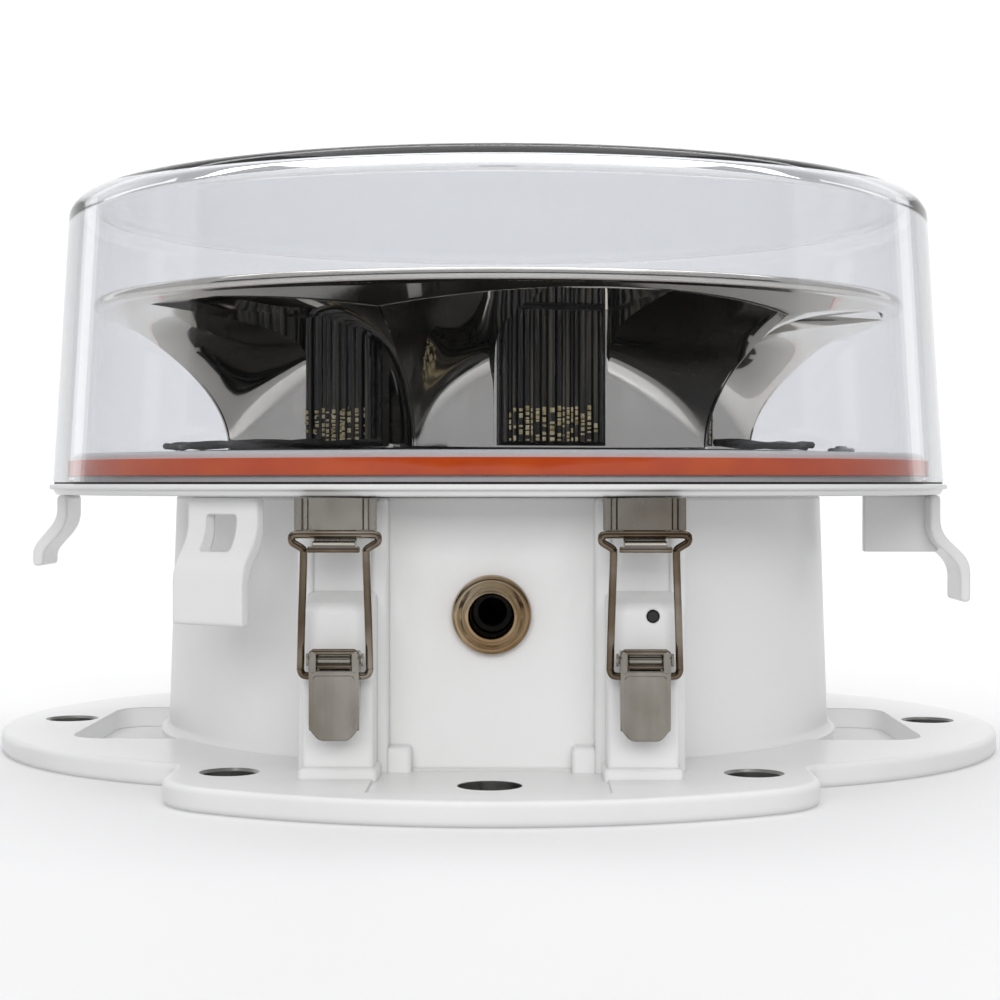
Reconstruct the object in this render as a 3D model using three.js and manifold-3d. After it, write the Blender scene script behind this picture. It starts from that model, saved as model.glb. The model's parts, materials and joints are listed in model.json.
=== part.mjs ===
// LED obstruction beacon: a clear dome over six horn reflectors on a round head tray. The head
// is hinged at the back to a cast base and held shut by two over-centre bail latches in front.
// Millimetres, +Z up, front towards -Y, origin at the centre of the flange's underside.
import * as THREE from 'three';
import { mergeVertices } from 'three/addons/utils/BufferGeometryUtils.js';
import Module from 'manifold-3d';

const wasm = await Module();
wasm.setup();

// ---------- driving dimensions ----------
const GAP = 0.3;
const ROUND = 64; // sides of the large round parts

const FLANGE = {
  thick: 8,
  edge: 2,
  sideReach: 191.5,
  sideArc: 136,
  lobeHalf: 104,
  lobeArc: 169,
  lobeReach: 204.5,
  corner: 14,
};
const BOLT_CIRCLE = 168.275;
const FLANGE_HOLES = [
  { azimuth: 0, radius: 10 },
  { azimuth: 30, radius: 8.75 },
  { azimuth: 90, radius: 9.25 },
  { azimuth: 150, radius: 8.75 },
  { azimuth: 180, radius: 10 },
  { azimuth: 210, radius: 8.75 },
  { azimuth: 270, radius: 9.25 },
  { azimuth: 330, radius: 8.75 },
];
const WINDOW = { inner: 100, outer: 156, front: -62, back: 40, corner: 15 };
const PAD = { half: 37, near: 138, far: 188, sunk: 0.8 }; // shallow recess on the front and back lobe
const RELIEF = { radius: 108, depth: 2 }; // hollow under the middle of the flange

const BODY = { foot: 127.8, top: 124.8, height: 96.2, floor: 9, bore: 117 };
const PANEL = { half: 36, front: -135.2 };
const GUSSET = { x: 33, half: 4, reach: 7, top: 15 };
const SEAL = { inner: 119.4, outer: 122.4, depth: 3.2 };

const LATCH_X = 48;
const BOSS = { half: 11.2, front: -160, back: -118, top: 63, stemHalf: 8.6, stemFront: -142, stemTop: 84 };
const PLUG = { x: LATCH_X + 3, z: 59, radius: 1.75, hole: 2.05 };
const GLAND = { height: 58, flange: 13, neck: 9.6, bore: 6.9, end: -104 };

const HINGE = { y: 181, z: 97, pin: 3, eye: 7.4, lugInner: 26, lugOuter: 38, knuckleHalf: 25.5 };

const TRAY = {
  radius: 172.3,
  foot: 171.4,
  under: 96.5,
  rim: 101,
  upstand: 163.5,
  floor: 111.2,
  recess: 114,
  recessTop: 105,
  wireway: 9,
};
const DOME = { foot: 171, shoulder: 165.3, top: 210, wall: 4.5, bottom: 101.3 };
const GASKET = { inner: 163.8, outer: 165.6, bottom: 103.1, top: 108.8 };

// Guide legs under the tray: radii of the upper and lower run, height of the crank and the end.
const LEG_THICK = 4;
const FRONT_LEG = { azimuth: -33, upper: 158, lower: 165.5, bend: 78, bottom: 54.6, half: 15 };
const LEFT_LEG = { azimuth: -90, upper: 167.4, lower: 176.8, bend: 81, bottom: 68.7, half: 12.5 };
const RIGHT_LEG = { azimuth: 90, upper: 167, lower: 178.5, bend: 76, bottom: 55, half: 12.5 };

const REFLECTOR = {
  petals: 6,
  firstAzimuth: 15,
  throat: 77,
  panelHalf: 21,
  ridgeFoot: 106,
  flare: 0.0165,
  bottom: 113.4,
  top: 163.7,
  rim: 155,
};
const LIGHT = { bottom: 115, top: 162, board: 1.6 }; // the upright light panel in each horn
const BASE_RING = { inner: 68, outer: 130, top: 112.3 };
const LEAD = { radius: 1.6, height: 114.3 };

const PIVOT = { y: -167.5, z: 46, pin: 1.2, hole: 1.5 };
const BRACKET = { half: 6, sheet: 1.2, ear: 3.1, bottom: 28, top: 47, rivetZ: 32 };
const LEVER = { half: 7.75, sheet: 1.25, face: -171, bottom: 21.3, top: 49 };
const BAIL = {
  pivotZ: 41,
  wire: 1.2,
  footHalf: 10.6,
  topHalf: 9.65,
  barY: -168.3,
  barZ: 84,
  barHalf: 14.5,
  bar: 1.65,
};
const KEEPER = {
  half: 12.85,
  face: -166.3,
  sheet: 1.5,
  bottom: 85.8,
  hookHalf: 6.6,
  screwY: -152,
  hole: 2.6,
};

// ---------- materials ----------
function finish(colour, roughness, metalness) {
  return new THREE.MeshStandardMaterial({ color: colour, roughness, metalness });
}

const PAINT = finish(0xf2f2f0, 0.45, 0);
const CHROME = finish(0xd9d4cc, 0.06, 1);
const STAINLESS = finish(0x9d958a, 0.25, 1);
const NICKEL = finish(0xb39b78, 0.28, 1);
const ZINC = finish(0xb9bcc0, 0.4, 1);
const SILICONE = finish(0xe4530c, 0.5, 0);
const BLACK_RUBBER = finish(0x151515, 0.7, 0);
const BLACK_PLASTIC = finish(0x1d1b1a, 0.45, 0);
const BOARD = finish(0x1b4d2b, 0.5, 0);
const COPPER = finish(0xb87345, 0.4, 1);
const LED_LENS = finish(0x55514a, 0.15, 0.2);
const ALUMINIUM = finish(0x8d9094, 0.4, 1);
const CLEAR = finish(0xe6ebf2, 0.03, 0);
CLEAR.transparent = true;
CLEAR.opacity = 0.25;

// ---------- solids ----------
function signedVolume(position, index) {
  const a = new THREE.Vector3();
  const b = new THREE.Vector3();
  const c = new THREE.Vector3();
  let sum = 0;
  for (let i = 0; i < index.length; i += 3) {
    a.fromBufferAttribute(position, index[i]);
    b.fromBufferAttribute(position, index[i + 1]);
    c.fromBufferAttribute(position, index[i + 2]);
    sum += a.dot(b.cross(c));
  }
  return sum;
}

// A closed geometry as a solid: shared vertices merged, slivers dropped, faces turned outwards.
function solid(geometry) {
  const plain = geometry.clone();
  plain.deleteAttribute('normal');
  plain.deleteAttribute('uv');
  const merged = mergeVertices(plain, 1e-4);
  const corners = merged.index.array;
  const kept = [];
  for (let i = 0; i < corners.length; i += 3) {
    const [a, b, c] = [corners[i], corners[i + 1], corners[i + 2]];
    if (a !== b && b !== c && a !== c) kept.push(a, b, c);
  }
  if (signedVolume(merged.getAttribute('position'), kept) < 0) kept.reverse();
  const vertProperties = new Float32Array(merged.getAttribute('position').array);
  return new wasm.Manifold(new wasm.Mesh({ numProp: 3, vertProperties, triVerts: new Uint32Array(kept) }));
}

function union(solids) {
  return solids.reduce((sum, next) => sum.add(next));
}

function toGeometry(body) {
  const mesh = body.getMesh();
  const geometry = new THREE.BufferGeometry();
  geometry.setAttribute('position', new THREE.BufferAttribute(new Float32Array(mesh.vertProperties), 3));
  geometry.setIndex(new THREE.BufferAttribute(new Uint32Array(mesh.triVerts), 1));
  geometry.computeVertexNormals();
  return geometry;
}

function box(x0, x1, y0, y1, z0, z1) {
  const geometry = new THREE.BoxGeometry(x1 - x0, y1 - y0, z1 - z0);
  geometry.translate((x0 + x1) / 2, (y0 + y1) / 2, (z0 + z1) / 2);
  return solid(geometry);
}

// A closed profile of [radius, height] points turned about Z.
function turned(profile, segments) {
  const points = profile.map(([r, z]) => new THREE.Vector2(r, z));
  const first = points[0];
  if (first.x > 0) points.push(first.clone());
  const geometry = new THREE.LatheGeometry(points, segments);
  geometry.rotateX(Math.PI / 2);
  return solid(geometry);
}

// The same profile turned about a line parallel to X or Y, its heights measured along that line.
function turnedAlong(axis, profile, segments, x, y, z) {
  const points = profile.map(([r, h]) => new THREE.Vector2(r, h));
  if (points[0].x > 0) points.push(points[0].clone());
  const geometry = new THREE.LatheGeometry(points, segments);
  if (axis === 'x') geometry.rotateZ(-Math.PI / 2);
  geometry.translate(x, y, z);
  return solid(geometry);
}

function rodAlong(axis, radius, from, to, x, y, z, segments = 20) {
  return turnedAlong(axis, [[0, from], [radius, from], [radius, to], [0, to]], segments, x, y, z);
}

function post(radius, z0, z1, x, y, segments = 20) {
  return turned([[0, z0], [radius, z0], [radius, z1], [0, z1]], segments).translate([x, y, 0]);
}

// A flat outline in the XY plane raised from z0 to z1.
function plate(shape, z0, z1, curveSegments = 12) {
  const geometry = new THREE.ExtrudeGeometry(shape, { depth: z1 - z0, bevelEnabled: false, curveSegments });
  geometry.translate(0, 0, z0);
  return solid(geometry);
}

// An outline in the YZ plane extruded from x0 to x1.
function profileAcross(shape, x0, x1, curveSegments = 8) {
  const geometry = new THREE.ExtrudeGeometry(shape, { depth: x1 - x0, bevelEnabled: false, curveSegments });
  const basis = new THREE.Matrix4();
  basis.makeBasis(new THREE.Vector3(0, 1, 0), new THREE.Vector3(0, 0, 1), new THREE.Vector3(1, 0, 0));
  geometry.applyMatrix4(basis);
  geometry.translate(x0, 0, 0);
  return solid(geometry);
}

function outline(points) {
  return new THREE.Shape(points.map(([a, b]) => new THREE.Vector2(a, b)));
}

// A round wire along a smooth curve through the points.
function wire(points, radius, sides, steps) {
  const section = new THREE.Shape();
  section.absarc(0, 0, radius, 0, 2 * Math.PI);
  const path = new THREE.CatmullRomCurve3(points.map((p) => new THREE.Vector3(...p)), false, 'centripetal');
  const ring = new THREE.Shape(section.getPoints(sides / 2).slice(0, -1));
  return solid(new THREE.ExtrudeGeometry(ring, { steps, extrudePath: path, curveSegments: 1 }));
}

function radians(degrees) {
  return (degrees * Math.PI) / 180;
}

// A point at a radius and an azimuth, counted from the front (-Y) towards +X.
function around(radius, azimuth) {
  return [radius * Math.sin(radians(azimuth)), -radius * Math.cos(radians(azimuth))];
}

const beacon = new THREE.Group();

function add(name, body, material, azimuth = 0) {
  const mesh = new THREE.Mesh(toGeometry(body), material);
  mesh.name = name;
  mesh.rotation.z = radians(azimuth);
  beacon.add(mesh);
}

// ---------- base casting ----------
// One quarter of the flange's outline, from the front apex round to the side lobe's tip.
function flangeQuarter() {
  const lobeCentre = FLANGE.lobeArc - FLANGE.lobeReach;
  const sideCentre = FLANGE.sideReach - FLANGE.sideArc;
  const cornerY = lobeCentre - Math.sqrt(FLANGE.lobeArc ** 2 - FLANGE.lobeHalf ** 2);
  const meetX = FLANGE.lobeHalf - FLANGE.corner;
  const meetY = lobeCentre - Math.sqrt(FLANGE.lobeArc ** 2 - meetX ** 2);
  const turnIn = Math.acos((FLANGE.lobeHalf - sideCentre) / FLANGE.sideArc);
  const path = new THREE.Path();
  path.absarc(0, lobeCentre, FLANGE.lobeArc, -Math.PI / 2, Math.atan2(meetY - lobeCentre, meetX));
  path.quadraticCurveTo(FLANGE.lobeHalf, cornerY, FLANGE.lobeHalf, cornerY + FLANGE.corner);
  path.absarc(sideCentre, 0, FLANGE.sideArc, -turnIn, 0);
  return path.getPoints(7);
}

function flangeOutline() {
  const quarter = flangeQuarter();
  const corners = [[1, 1], [1, -1], [-1, -1], [-1, 1]];
  const points = [];
  corners.forEach(([sx, sy], i) => {
    const run = quarter.map((p) => new THREE.Vector2(sx * p.x, sy * p.y));
    if (i % 2 === 1) run.reverse();
    points.push(...run.slice(0, -1));
  });
  return new THREE.Shape(points);
}

function flange() {
  const settings = {
    depth: FLANGE.thick - 2 * FLANGE.edge,
    bevelThickness: FLANGE.edge,
    bevelSize: FLANGE.edge,
    bevelOffset: -FLANGE.edge,
    bevelSegments: 1,
  };
  const geometry = new THREE.ExtrudeGeometry(flangeOutline(), settings);
  geometry.translate(0, 0, FLANGE.edge);
  return solid(geometry);
}

// The opening beside the body in each side lobe.
function sideWindow(side) {
  const r = WINDOW.corner;
  const shape = new THREE.Shape();
  shape.moveTo(WINDOW.inner, WINDOW.front);
  shape.lineTo(WINDOW.outer - r, WINDOW.front);
  shape.absarc(WINDOW.outer - r, WINDOW.front + r, r, -Math.PI / 2, 0);
  shape.absarc(WINDOW.outer - r, WINDOW.back - r, r, 0, Math.PI / 2);
  shape.lineTo(WINDOW.inner, WINDOW.back);
  const hole = plate(shape, -1, FLANGE.thick + 1, 5);
  return side > 0 ? hole : hole.mirror([1, 0, 0]);
}

function boltHole({ azimuth, radius }) {
  const [x, y] = around(BOLT_CIRCLE, azimuth);
  const mouth = FLANGE.thick;
  const sink = 1.2;
  const profile = [
    [0, -1], [radius, -1], [radius, mouth - sink],
    [radius + sink + 0.5, mouth + 0.5], [0, mouth + 0.5],
  ];
  return turned(profile, 16).translate([x, y, 0]);
}

function latchBoss(side) {
  const cx = side * LATCH_X;
  const x0 = cx - BOSS.half;
  const x1 = cx + BOSS.half;
  const block = outline([
    [BOSS.back, 4], [BOSS.front, 4], [BOSS.front, BOSS.top - 3],
    [BOSS.front + 3, BOSS.top], [BOSS.back, BOSS.top + 5],
  ]);
  const stem = outline([
    [BOSS.back, 60], [BOSS.stemFront, 60], [BOSS.stemFront, BOSS.stemTop - 6],
    [BOSS.stemFront + 12, BOSS.stemTop], [BOSS.back, BOSS.stemTop],
  ]);
  const foot = outline([
    [BOSS.back, 4], [BOSS.front - 2.5, 4], [BOSS.front - 2.5, 9],
    [BOSS.front, 12], [BOSS.back, 12],
  ]);
  return union([
    profileAcross(block, x0, x1),
    profileAcross(stem, cx - BOSS.stemHalf, cx + BOSS.stemHalf),
    profileAcross(foot, x0 - 1, x1 + 1),
  ]);
}

function hingeLug(side) {
  const shape = outline([[110, 66], [124, 66], [174, 84.5], [188, 92], [188, 93], [110, 93]]);
  const arm = profileAcross(shape, HINGE.lugInner, HINGE.lugOuter);
  const eye = rodAlong('x', HINGE.eye, HINGE.lugInner, HINGE.lugOuter, 0, HINGE.y, HINGE.z, 18);
  const trim = box(20, 44, 186, 200, 80, 93.5);
  const lug = arm.subtract(trim).add(eye);
  return side > 0 ? lug : lug.mirror([1, 0, 0]);
}

function baseCasting() {
  const shell = turned([
    [0, 1], [BODY.foot + 3, 1], [BODY.foot + 3, FLANGE.thick], [BODY.foot, FLANGE.thick + 3],
    [BODY.top, BODY.height], [0, BODY.height],
  ], ROUND);
  const windows = union([sideWindow(1), sideWindow(-1)]);
  const padFloor = FLANGE.thick - PAD.sunk;
  const pads = union([
    box(-PAD.half, PAD.half, -PAD.far, -PAD.near, padFloor, padFloor + 4),
    box(-PAD.half, PAD.half, PAD.near, PAD.far, padFloor, padFloor + 4),
  ]);
  const panel = box(-PANEL.half, PANEL.half, PANEL.front, -100, 3, BODY.height);
  const gussets = [-1, 1].map((s) => box(
    s * GUSSET.x - GUSSET.half, s * GUSSET.x + GUSSET.half,
    PANEL.front - GUSSET.reach, PANEL.front + 2, 4, GUSSET.top,
  ));
  const bosses = [-1, 1].map(latchBoss);
  const lugs = [-1, 1].map(hingeLug);
  const cavity = turned([
    [0, BODY.floor], [BODY.bore + 1.5, BODY.floor], [BODY.bore, BODY.height + 1], [0, BODY.height + 1],
  ], ROUND);
  const groove = turned([
    [SEAL.inner - GAP, BODY.height - SEAL.depth], [SEAL.outer + GAP, BODY.height - SEAL.depth],
    [SEAL.outer + GAP, BODY.height + 1], [SEAL.inner - GAP, BODY.height + 1],
  ], ROUND);
  const relief = turned([
    [0, -1], [RELIEF.radius, -1], [RELIEF.radius - 2, RELIEF.depth], [0, RELIEF.depth],
  ], 32);
  const cableHole = rodAlong('y', GLAND.neck + GAP, -140, -100, 0, 0, GLAND.height);
  const pinHole = rodAlong('x', HINGE.pin + GAP, -60, 60, 0, HINGE.y, HINGE.z, 16);
  const plugHole = rodAlong('y', PLUG.hole, -165, -151, PLUG.x, 0, PLUG.z, 12);
  const bored = [cavity, groove, relief, cableHole, pinHole, plugHole, ...FLANGE_HOLES.map(boltHole)];
  return flange().subtract(pads).subtract(windows)
    .add(shell).add(panel).add(union([...gussets, ...bosses, ...lugs]))
    .subtract(union(bored));
}

function baseParts() {
  add('base_casting', baseCasting(), PAINT);
  const sealBottom = BODY.height - SEAL.depth + GAP;
  add('base_seal', turned([
    [SEAL.inner, sealBottom], [SEAL.outer, sealBottom], [SEAL.outer, BODY.height], [SEAL.inner, BODY.height],
  ], ROUND), BLACK_RUBBER);
  add('boss_plug_screw', rodAlong('y', PLUG.radius, -159.6, -153, PLUG.x, 0, PLUG.z, 12), BLACK_PLASTIC);
}

// ---------- cable gland ----------
function glandParts() {
  const face = PANEL.front - GAP;
  const at = [0, 0, GLAND.height];
  add('gland_body', turnedAlong('y', [
    [GLAND.bore, face - 4.5], [GLAND.flange - 0.8, face - 4.5],
    [GLAND.flange, face - 3.6], [GLAND.flange, face],
    [GLAND.neck, face], [GLAND.neck, GLAND.end], [GLAND.bore, GLAND.end],
  ], 24, ...at), NICKEL);
  add('gland_nut', turnedAlong('y', [
    [GLAND.bore, face - 9.5], [8.4, face - 9.5], [9.4, face - 8.4],
    [11.4, face - 6.8], [11.4, face - 4.8], [GLAND.bore, face - 4.8],
  ], 24, ...at), NICKEL);
  add('gland_locknut', turnedAlong('y', [
    [GLAND.neck + GAP, -113], [14, -113], [14, -108], [GLAND.neck + GAP, -108],
  ], 6, ...at).subtract(rodAlong('y', GLAND.neck + GAP, -120, -100, ...at)), NICKEL);
  add('gland_seal', turnedAlong('y', [
    [4.8, -122], [GLAND.bore - GAP, -122], [GLAND.bore - GAP, -110], [4.8, -110],
  ], 20, ...at), BLACK_RUBBER);
}

// ---------- electronics in the base ----------
function driverParts() {
  const board = { half: 52, depth: 40, y: 12, z: 22 };
  const [b0, b1] = [board.y - board.depth, board.y + board.depth];
  const corners = [[-46, b0 + 6], [46, b0 + 6], [-46, b1 - 6], [46, b1 - 6]];
  const standoffs = corners.map(([x, y]) => post(3, BODY.floor + GAP, board.z - GAP, x, y, 10));
  const carrier = box(-board.half, board.half, b0, b1, BODY.floor + GAP, BODY.floor + GAP + 1.5);
  add('driver_carrier', union([carrier, ...standoffs]), ZINC);
  add('driver_board', box(-board.half, board.half, b0, b1, board.z, board.z + 1.6), BOARD);
  const top = board.z + 1.6 + GAP;
  const core = box(-34, -6, 0, 30, top, top + 22);
  const winding = box(-30, -10, -6, 36, top + 4, top + 18);
  add('driver_transformer', core.add(winding), COPPER);
  const ways = [-12, -4, 4, 12].map((x) => box(x - 2.6, x + 2.6, -25, -20, top + 6, top + 12));
  add('terminal_block', box(-17, 17, -25, -13, top, top + 11).subtract(union(ways)), BLACK_PLASTIC);
}

// ---------- latches ----------
// Ear of the latch bracket: round at the pin and reaching down and back to the plate.
function bracketEar(x0, x1, plateFace) {
  const r = BRACKET.ear;
  const shape = new THREE.Shape();
  shape.moveTo(PIVOT.y - r * Math.cos(0.6), PIVOT.z - r * Math.sin(0.6));
  shape.lineTo(plateFace, PIVOT.z - 12);
  shape.lineTo(plateFace, PIVOT.z - 5.5);
  shape.lineTo(PIVOT.y + r, PIVOT.z);
  shape.absarc(PIVOT.y, PIVOT.z, r, 0, Math.PI + 0.6);
  return profileAcross(shape, x0, x1);
}

function latchBracket() {
  const plateBack = BOSS.front - GAP;
  const plateFace = plateBack - BRACKET.sheet;
  const inside = BRACKET.half - BRACKET.sheet;
  const back = box(-BRACKET.half, BRACKET.half, plateFace, plateBack, BRACKET.bottom, BRACKET.top);
  const ears = [
    bracketEar(-BRACKET.half, -inside, plateFace + 0.4),
    bracketEar(inside, BRACKET.half, plateFace + 0.4),
  ];
  const rivetHole = rodAlong('y', 1.9, -170, -150, 0, 0, BRACKET.rivetZ, 10);
  const pinHole = rodAlong('x', PIVOT.hole, -10, 10, 0, PIVOT.y, PIVOT.z, 12);
  return union([back, ...ears]).subtract(union([rivetHole, pinHole]));
}

function latchRivet() {
  const plateBack = BOSS.front - GAP;
  const face = plateBack - BRACKET.sheet - GAP;
  return turnedAlong('y', [
    [0, face - 0.9], [1.8, face - 0.9], [2.8, face],
    [1.6, face], [1.6, plateBack], [0, plateBack],
  ], 10, 0, 0, BRACKET.rivetZ);
}

function latchLever() {
  const { half, bottom, top } = LEVER;
  const inside = half - LEVER.sheet;
  const face = new THREE.Shape();
  face.moveTo(-half, top);
  face.lineTo(-half, bottom + 5.7);
  face.quadraticCurveTo(-7.6, bottom, -4, bottom);
  face.lineTo(4, bottom);
  face.quadraticCurveTo(7.6, bottom, half, bottom + 5.7);
  face.lineTo(half, top);
  const front = new THREE.ExtrudeGeometry(face, { depth: 1.2, bevelEnabled: false, curveSegments: 4 });
  front.rotateX(Math.PI / 2);
  front.translate(0, LEVER.face, 0);
  const cheek = outline([[-171.4, top], [-171.4, 26], [-169.4, 26], [-163.9, 38], [-163.9, 48], [-165, top]]);
  const cheeks = [profileAcross(cheek, -half, -inside), profileAcross(cheek, inside, half)];
  const roll = rodAlong('x', 1.1, -half, half, 0, LEVER.face - GAP, top - 1, 10);
  const pinHole = rodAlong('x', PIVOT.hole, -10, 10, 0, PIVOT.y, PIVOT.z, 12);
  const bailHole = rodAlong('x', BAIL.wire + GAP, -10, 10, 0, PIVOT.y, BAIL.pivotZ, 12);
  return union([solid(front), ...cheeks, roll]).subtract(union([pinHole, bailHole]));
}

function leverPin() {
  const inside = 8.1;
  const end = 8.9;
  const shaft = rodAlong('x', PIVOT.pin, -end, end, 0, PIVOT.y, PIVOT.z, 10);
  const head = rodAlong('x', 2, inside, end, 0, PIVOT.y, PIVOT.z, 10);
  return union([shaft, head, head.mirror([1, 0, 0])]);
}

function latchBail() {
  const rise = BAIL.barZ - BAIL.pivotZ;
  const arms = [-1, 1].map((s) => wire([
    [s * 6.6, PIVOT.y, BAIL.pivotZ],
    [s * 9.2, PIVOT.y, BAIL.pivotZ],
    [s * (BAIL.footHalf - 0.2), PIVOT.y, BAIL.pivotZ + 0.9],
    [s * BAIL.footHalf, PIVOT.y, BAIL.pivotZ + 3],
    [s * (BAIL.footHalf + BAIL.topHalf) / 2, (PIVOT.y + BAIL.barY) / 2, BAIL.pivotZ + rise / 2],
    [s * BAIL.topHalf, BAIL.barY, BAIL.barZ],
  ], BAIL.wire, 8, 10));
  const end = BAIL.barHalf;
  const bar = turnedAlong('x', [
    [0, -end], [1.1, -end + 0.3], [BAIL.bar, -end + 1.5], [BAIL.bar, end - 1.5], [1.1, end - 0.3], [0, end],
  ], 10, 0, BAIL.barY, BAIL.barZ);
  return union([...arms, bar]);
}

// The keeper hangs from the tray's underside; the bail's bar rests on its shelf.
function latchKeeper() {
  const under = TRAY.under - GAP;
  const { half, face, sheet, bottom, hookHalf } = KEEPER;
  const back = box(-half, half, face, face + sheet, bottom, under);
  const rolls = [-12, 12].map((x) => post(sheet, bottom, under, x, face + 0.4, 10));
  const leaf = box(-12, 12, -165, -144, under - sheet, under);
  const hook = outline([
    [face + sheet, 87], [face, 87], [face, 82], [-172.6, 82], [-173.6, 81],
    [-173.4, 79.6], [-172.6, 80.2], [-166, 80.2], [face + sheet, 81.4],
  ]);
  const hole = post(KEEPER.hole, 90, 99, 0, KEEPER.screwY, 10);
  return union([back, ...rolls, leaf, profileAcross(hook, -hookHalf, hookHalf)]).subtract(hole);
}

// A button-head screw from below, its head under `seat` and its shank up to the tray.
function upwardScrew(head, shank, seat, x, y) {
  const top = TRAY.under - GAP;
  return turned([
    [0, seat - 2.6], [head - 0.9, seat - 2.6], [head, seat - 1.6], [head, seat],
    [shank, seat], [shank, top], [0, top],
  ], 12).translate([x, y, 0]);
}

function latchParts() {
  const keeperSeat = TRAY.under - 2 * GAP - KEEPER.sheet;
  [['left', -1], ['right', 1]].forEach(([name, side]) => {
    const shift = [side * LATCH_X, 0, 0];
    add(`${name}_latch_bracket`, latchBracket().translate(shift), STAINLESS);
    add(`${name}_latch_rivet`, latchRivet().translate(shift), STAINLESS);
    add(`${name}_lever_pin`, leverPin().translate(shift), STAINLESS);
    add(`${name}_latch_lever`, latchLever().translate(shift), STAINLESS);
    add(`${name}_latch_bail`, latchBail().translate(shift), STAINLESS);
    add(`${name}_keeper`, latchKeeper().translate(shift), STAINLESS);
    const screw = upwardScrew(4, 2.2, keeperSeat, 0, KEEPER.screwY);
    add(`${name}_keeper_screw`, screw.translate(shift), STAINLESS);
  });
}

// ---------- rear hinge ----------
function hingeParts() {
  const reach = HINGE.lugOuter + 1.2;
  const pin = rodAlong('x', HINGE.pin, -reach, reach, 0, HINGE.y, HINGE.z, 14);
  const head = rodAlong('x', 5, reach - 0.9, reach + 1.6, 0, HINGE.y, HINGE.z, 14);
  add('hinge_pin', union([pin, head, head.mirror([1, 0, 0])]), STAINLESS);
  const top = TRAY.under - GAP;
  const screwX = 14;
  const screwY = 155;
  const seat = 90 - GAP;
  const leaf = outline([[146, top], [146, 90.5], [170, 89.6], [178, 89.6], [178, top]]);
  const { eye, knuckleHalf } = HINGE;
  const barrel = rodAlong('x', eye - 0.2, -knuckleHalf, knuckleHalf, 0, HINGE.y, HINGE.z, 18);
  const bore = rodAlong('x', HINGE.pin + GAP, -60, 60, 0, HINGE.y, HINGE.z, 14);
  const holes = [-screwX, screwX].map((x) => post(2.8, 80, 99, x, screwY, 10));
  add('hinge_knuckle', profileAcross(leaf, -22, 22).add(barrel).subtract(union([bore, ...holes])), PAINT);
  add('left_hinge_screw', upwardScrew(4.2, 2.5, seat, -screwX, screwY), STAINLESS);
  add('right_hinge_screw', upwardScrew(4.2, 2.5, seat, screwX, screwY), STAINLESS);
}

// ---------- head tray, dome and guide legs ----------
function domeProfile() {
  const path = new THREE.Path();
  const side = DOME.shoulder;
  const shoulder = DOME.top - 11;
  path.moveTo(DOME.foot - DOME.wall, DOME.bottom);
  path.lineTo(DOME.foot, DOME.bottom);
  path.lineTo(side, shoulder);
  path.bezierCurveTo(side - 0.4, shoulder + 5, side - 4, shoulder + 8.6, side - 9, shoulder + 9);
  path.quadraticCurveTo(side / 2, DOME.top, 0, DOME.top);
  path.lineTo(0, DOME.top - DOME.wall);
  const inner = side - DOME.wall;
  path.quadraticCurveTo(inner / 2, DOME.top - DOME.wall, inner - 7, shoulder + 5);
  path.bezierCurveTo(inner - 3, shoulder + 4.4, inner - 0.4, shoulder + 2, inner, shoulder - 2);
  const points = path.getPoints(3).map((p) => [p.x, p.y]);
  const crown = points.findIndex((p) => p[0] === 0) + 1;
  return points.slice(crown).concat(points.slice(0, crown));
}

function tray() {
  const dish = turned([
    [0, TRAY.recessTop], [TRAY.recess, TRAY.recessTop], [TRAY.recess, TRAY.under], [TRAY.foot, TRAY.under],
    [TRAY.foot, 98.5], [TRAY.radius, 98.8], [TRAY.radius, 100.7], [TRAY.radius - 0.4, TRAY.rim],
    [TRAY.upstand, TRAY.rim], [TRAY.upstand, TRAY.floor - 0.8],
    [TRAY.upstand - 1, TRAY.floor], [0, TRAY.floor],
  ], ROUND);
  return dish.subtract(post(TRAY.wireway, 90, 120, 0, 0, 20));
}

// A cranked strip hanging from the tray: its upper run near the rim, its lower run further out.
function crankedLeg({ upper, lower, bend, bottom, half }) {
  const top = TRAY.under - GAP;
  const outerTop = upper + LEG_THICK;
  const outerEnd = lower + LEG_THICK;
  return profileAcross(outline([
    [-upper, top], [-outerTop, top], [-outerTop, bend + 5], [-outerEnd, bend - 5], [-outerEnd, bottom + 2],
    [-outerEnd + 2, bottom], [-lower, bottom], [-lower, bend - 7], [-upper, bend + 3],
  ]), -half, half);
}

function headParts() {
  add('head_tray', tray(), PAINT);
  add('dome_gasket', turned([
    [GASKET.inner, GASKET.bottom], [GASKET.outer, GASKET.bottom],
    [GASKET.outer, GASKET.top], [GASKET.inner, GASKET.top],
  ], ROUND), SILICONE);
  add('dome', turned(domeProfile(), ROUND), CLEAR);

  const slot = box(-6.4, 6.4, -175, -150, 78.5, 90.5);
  add('front_guide_leg', crankedLeg(FRONT_LEG).subtract(slot), PAINT, FRONT_LEG.azimuth);
  add('left_guide_leg', crankedLeg(LEFT_LEG), PAINT, LEFT_LEG.azimuth);
  const web = box(-2, 2, -172, -143, 74, TRAY.under - GAP);
  add('right_guide_leg', crankedLeg(RIGHT_LEG).add(web), PAINT, RIGHT_LEG.azimuth);
}

// ---------- reflector ----------
// Outer reach of the ridge between two horns at a height.
function ridgeReach(z) {
  return Math.min(REFLECTOR.ridgeFoot + REFLECTOR.flare * Math.max(0, z - 112) ** 2, REFLECTOR.rim - 3);
}

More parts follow.
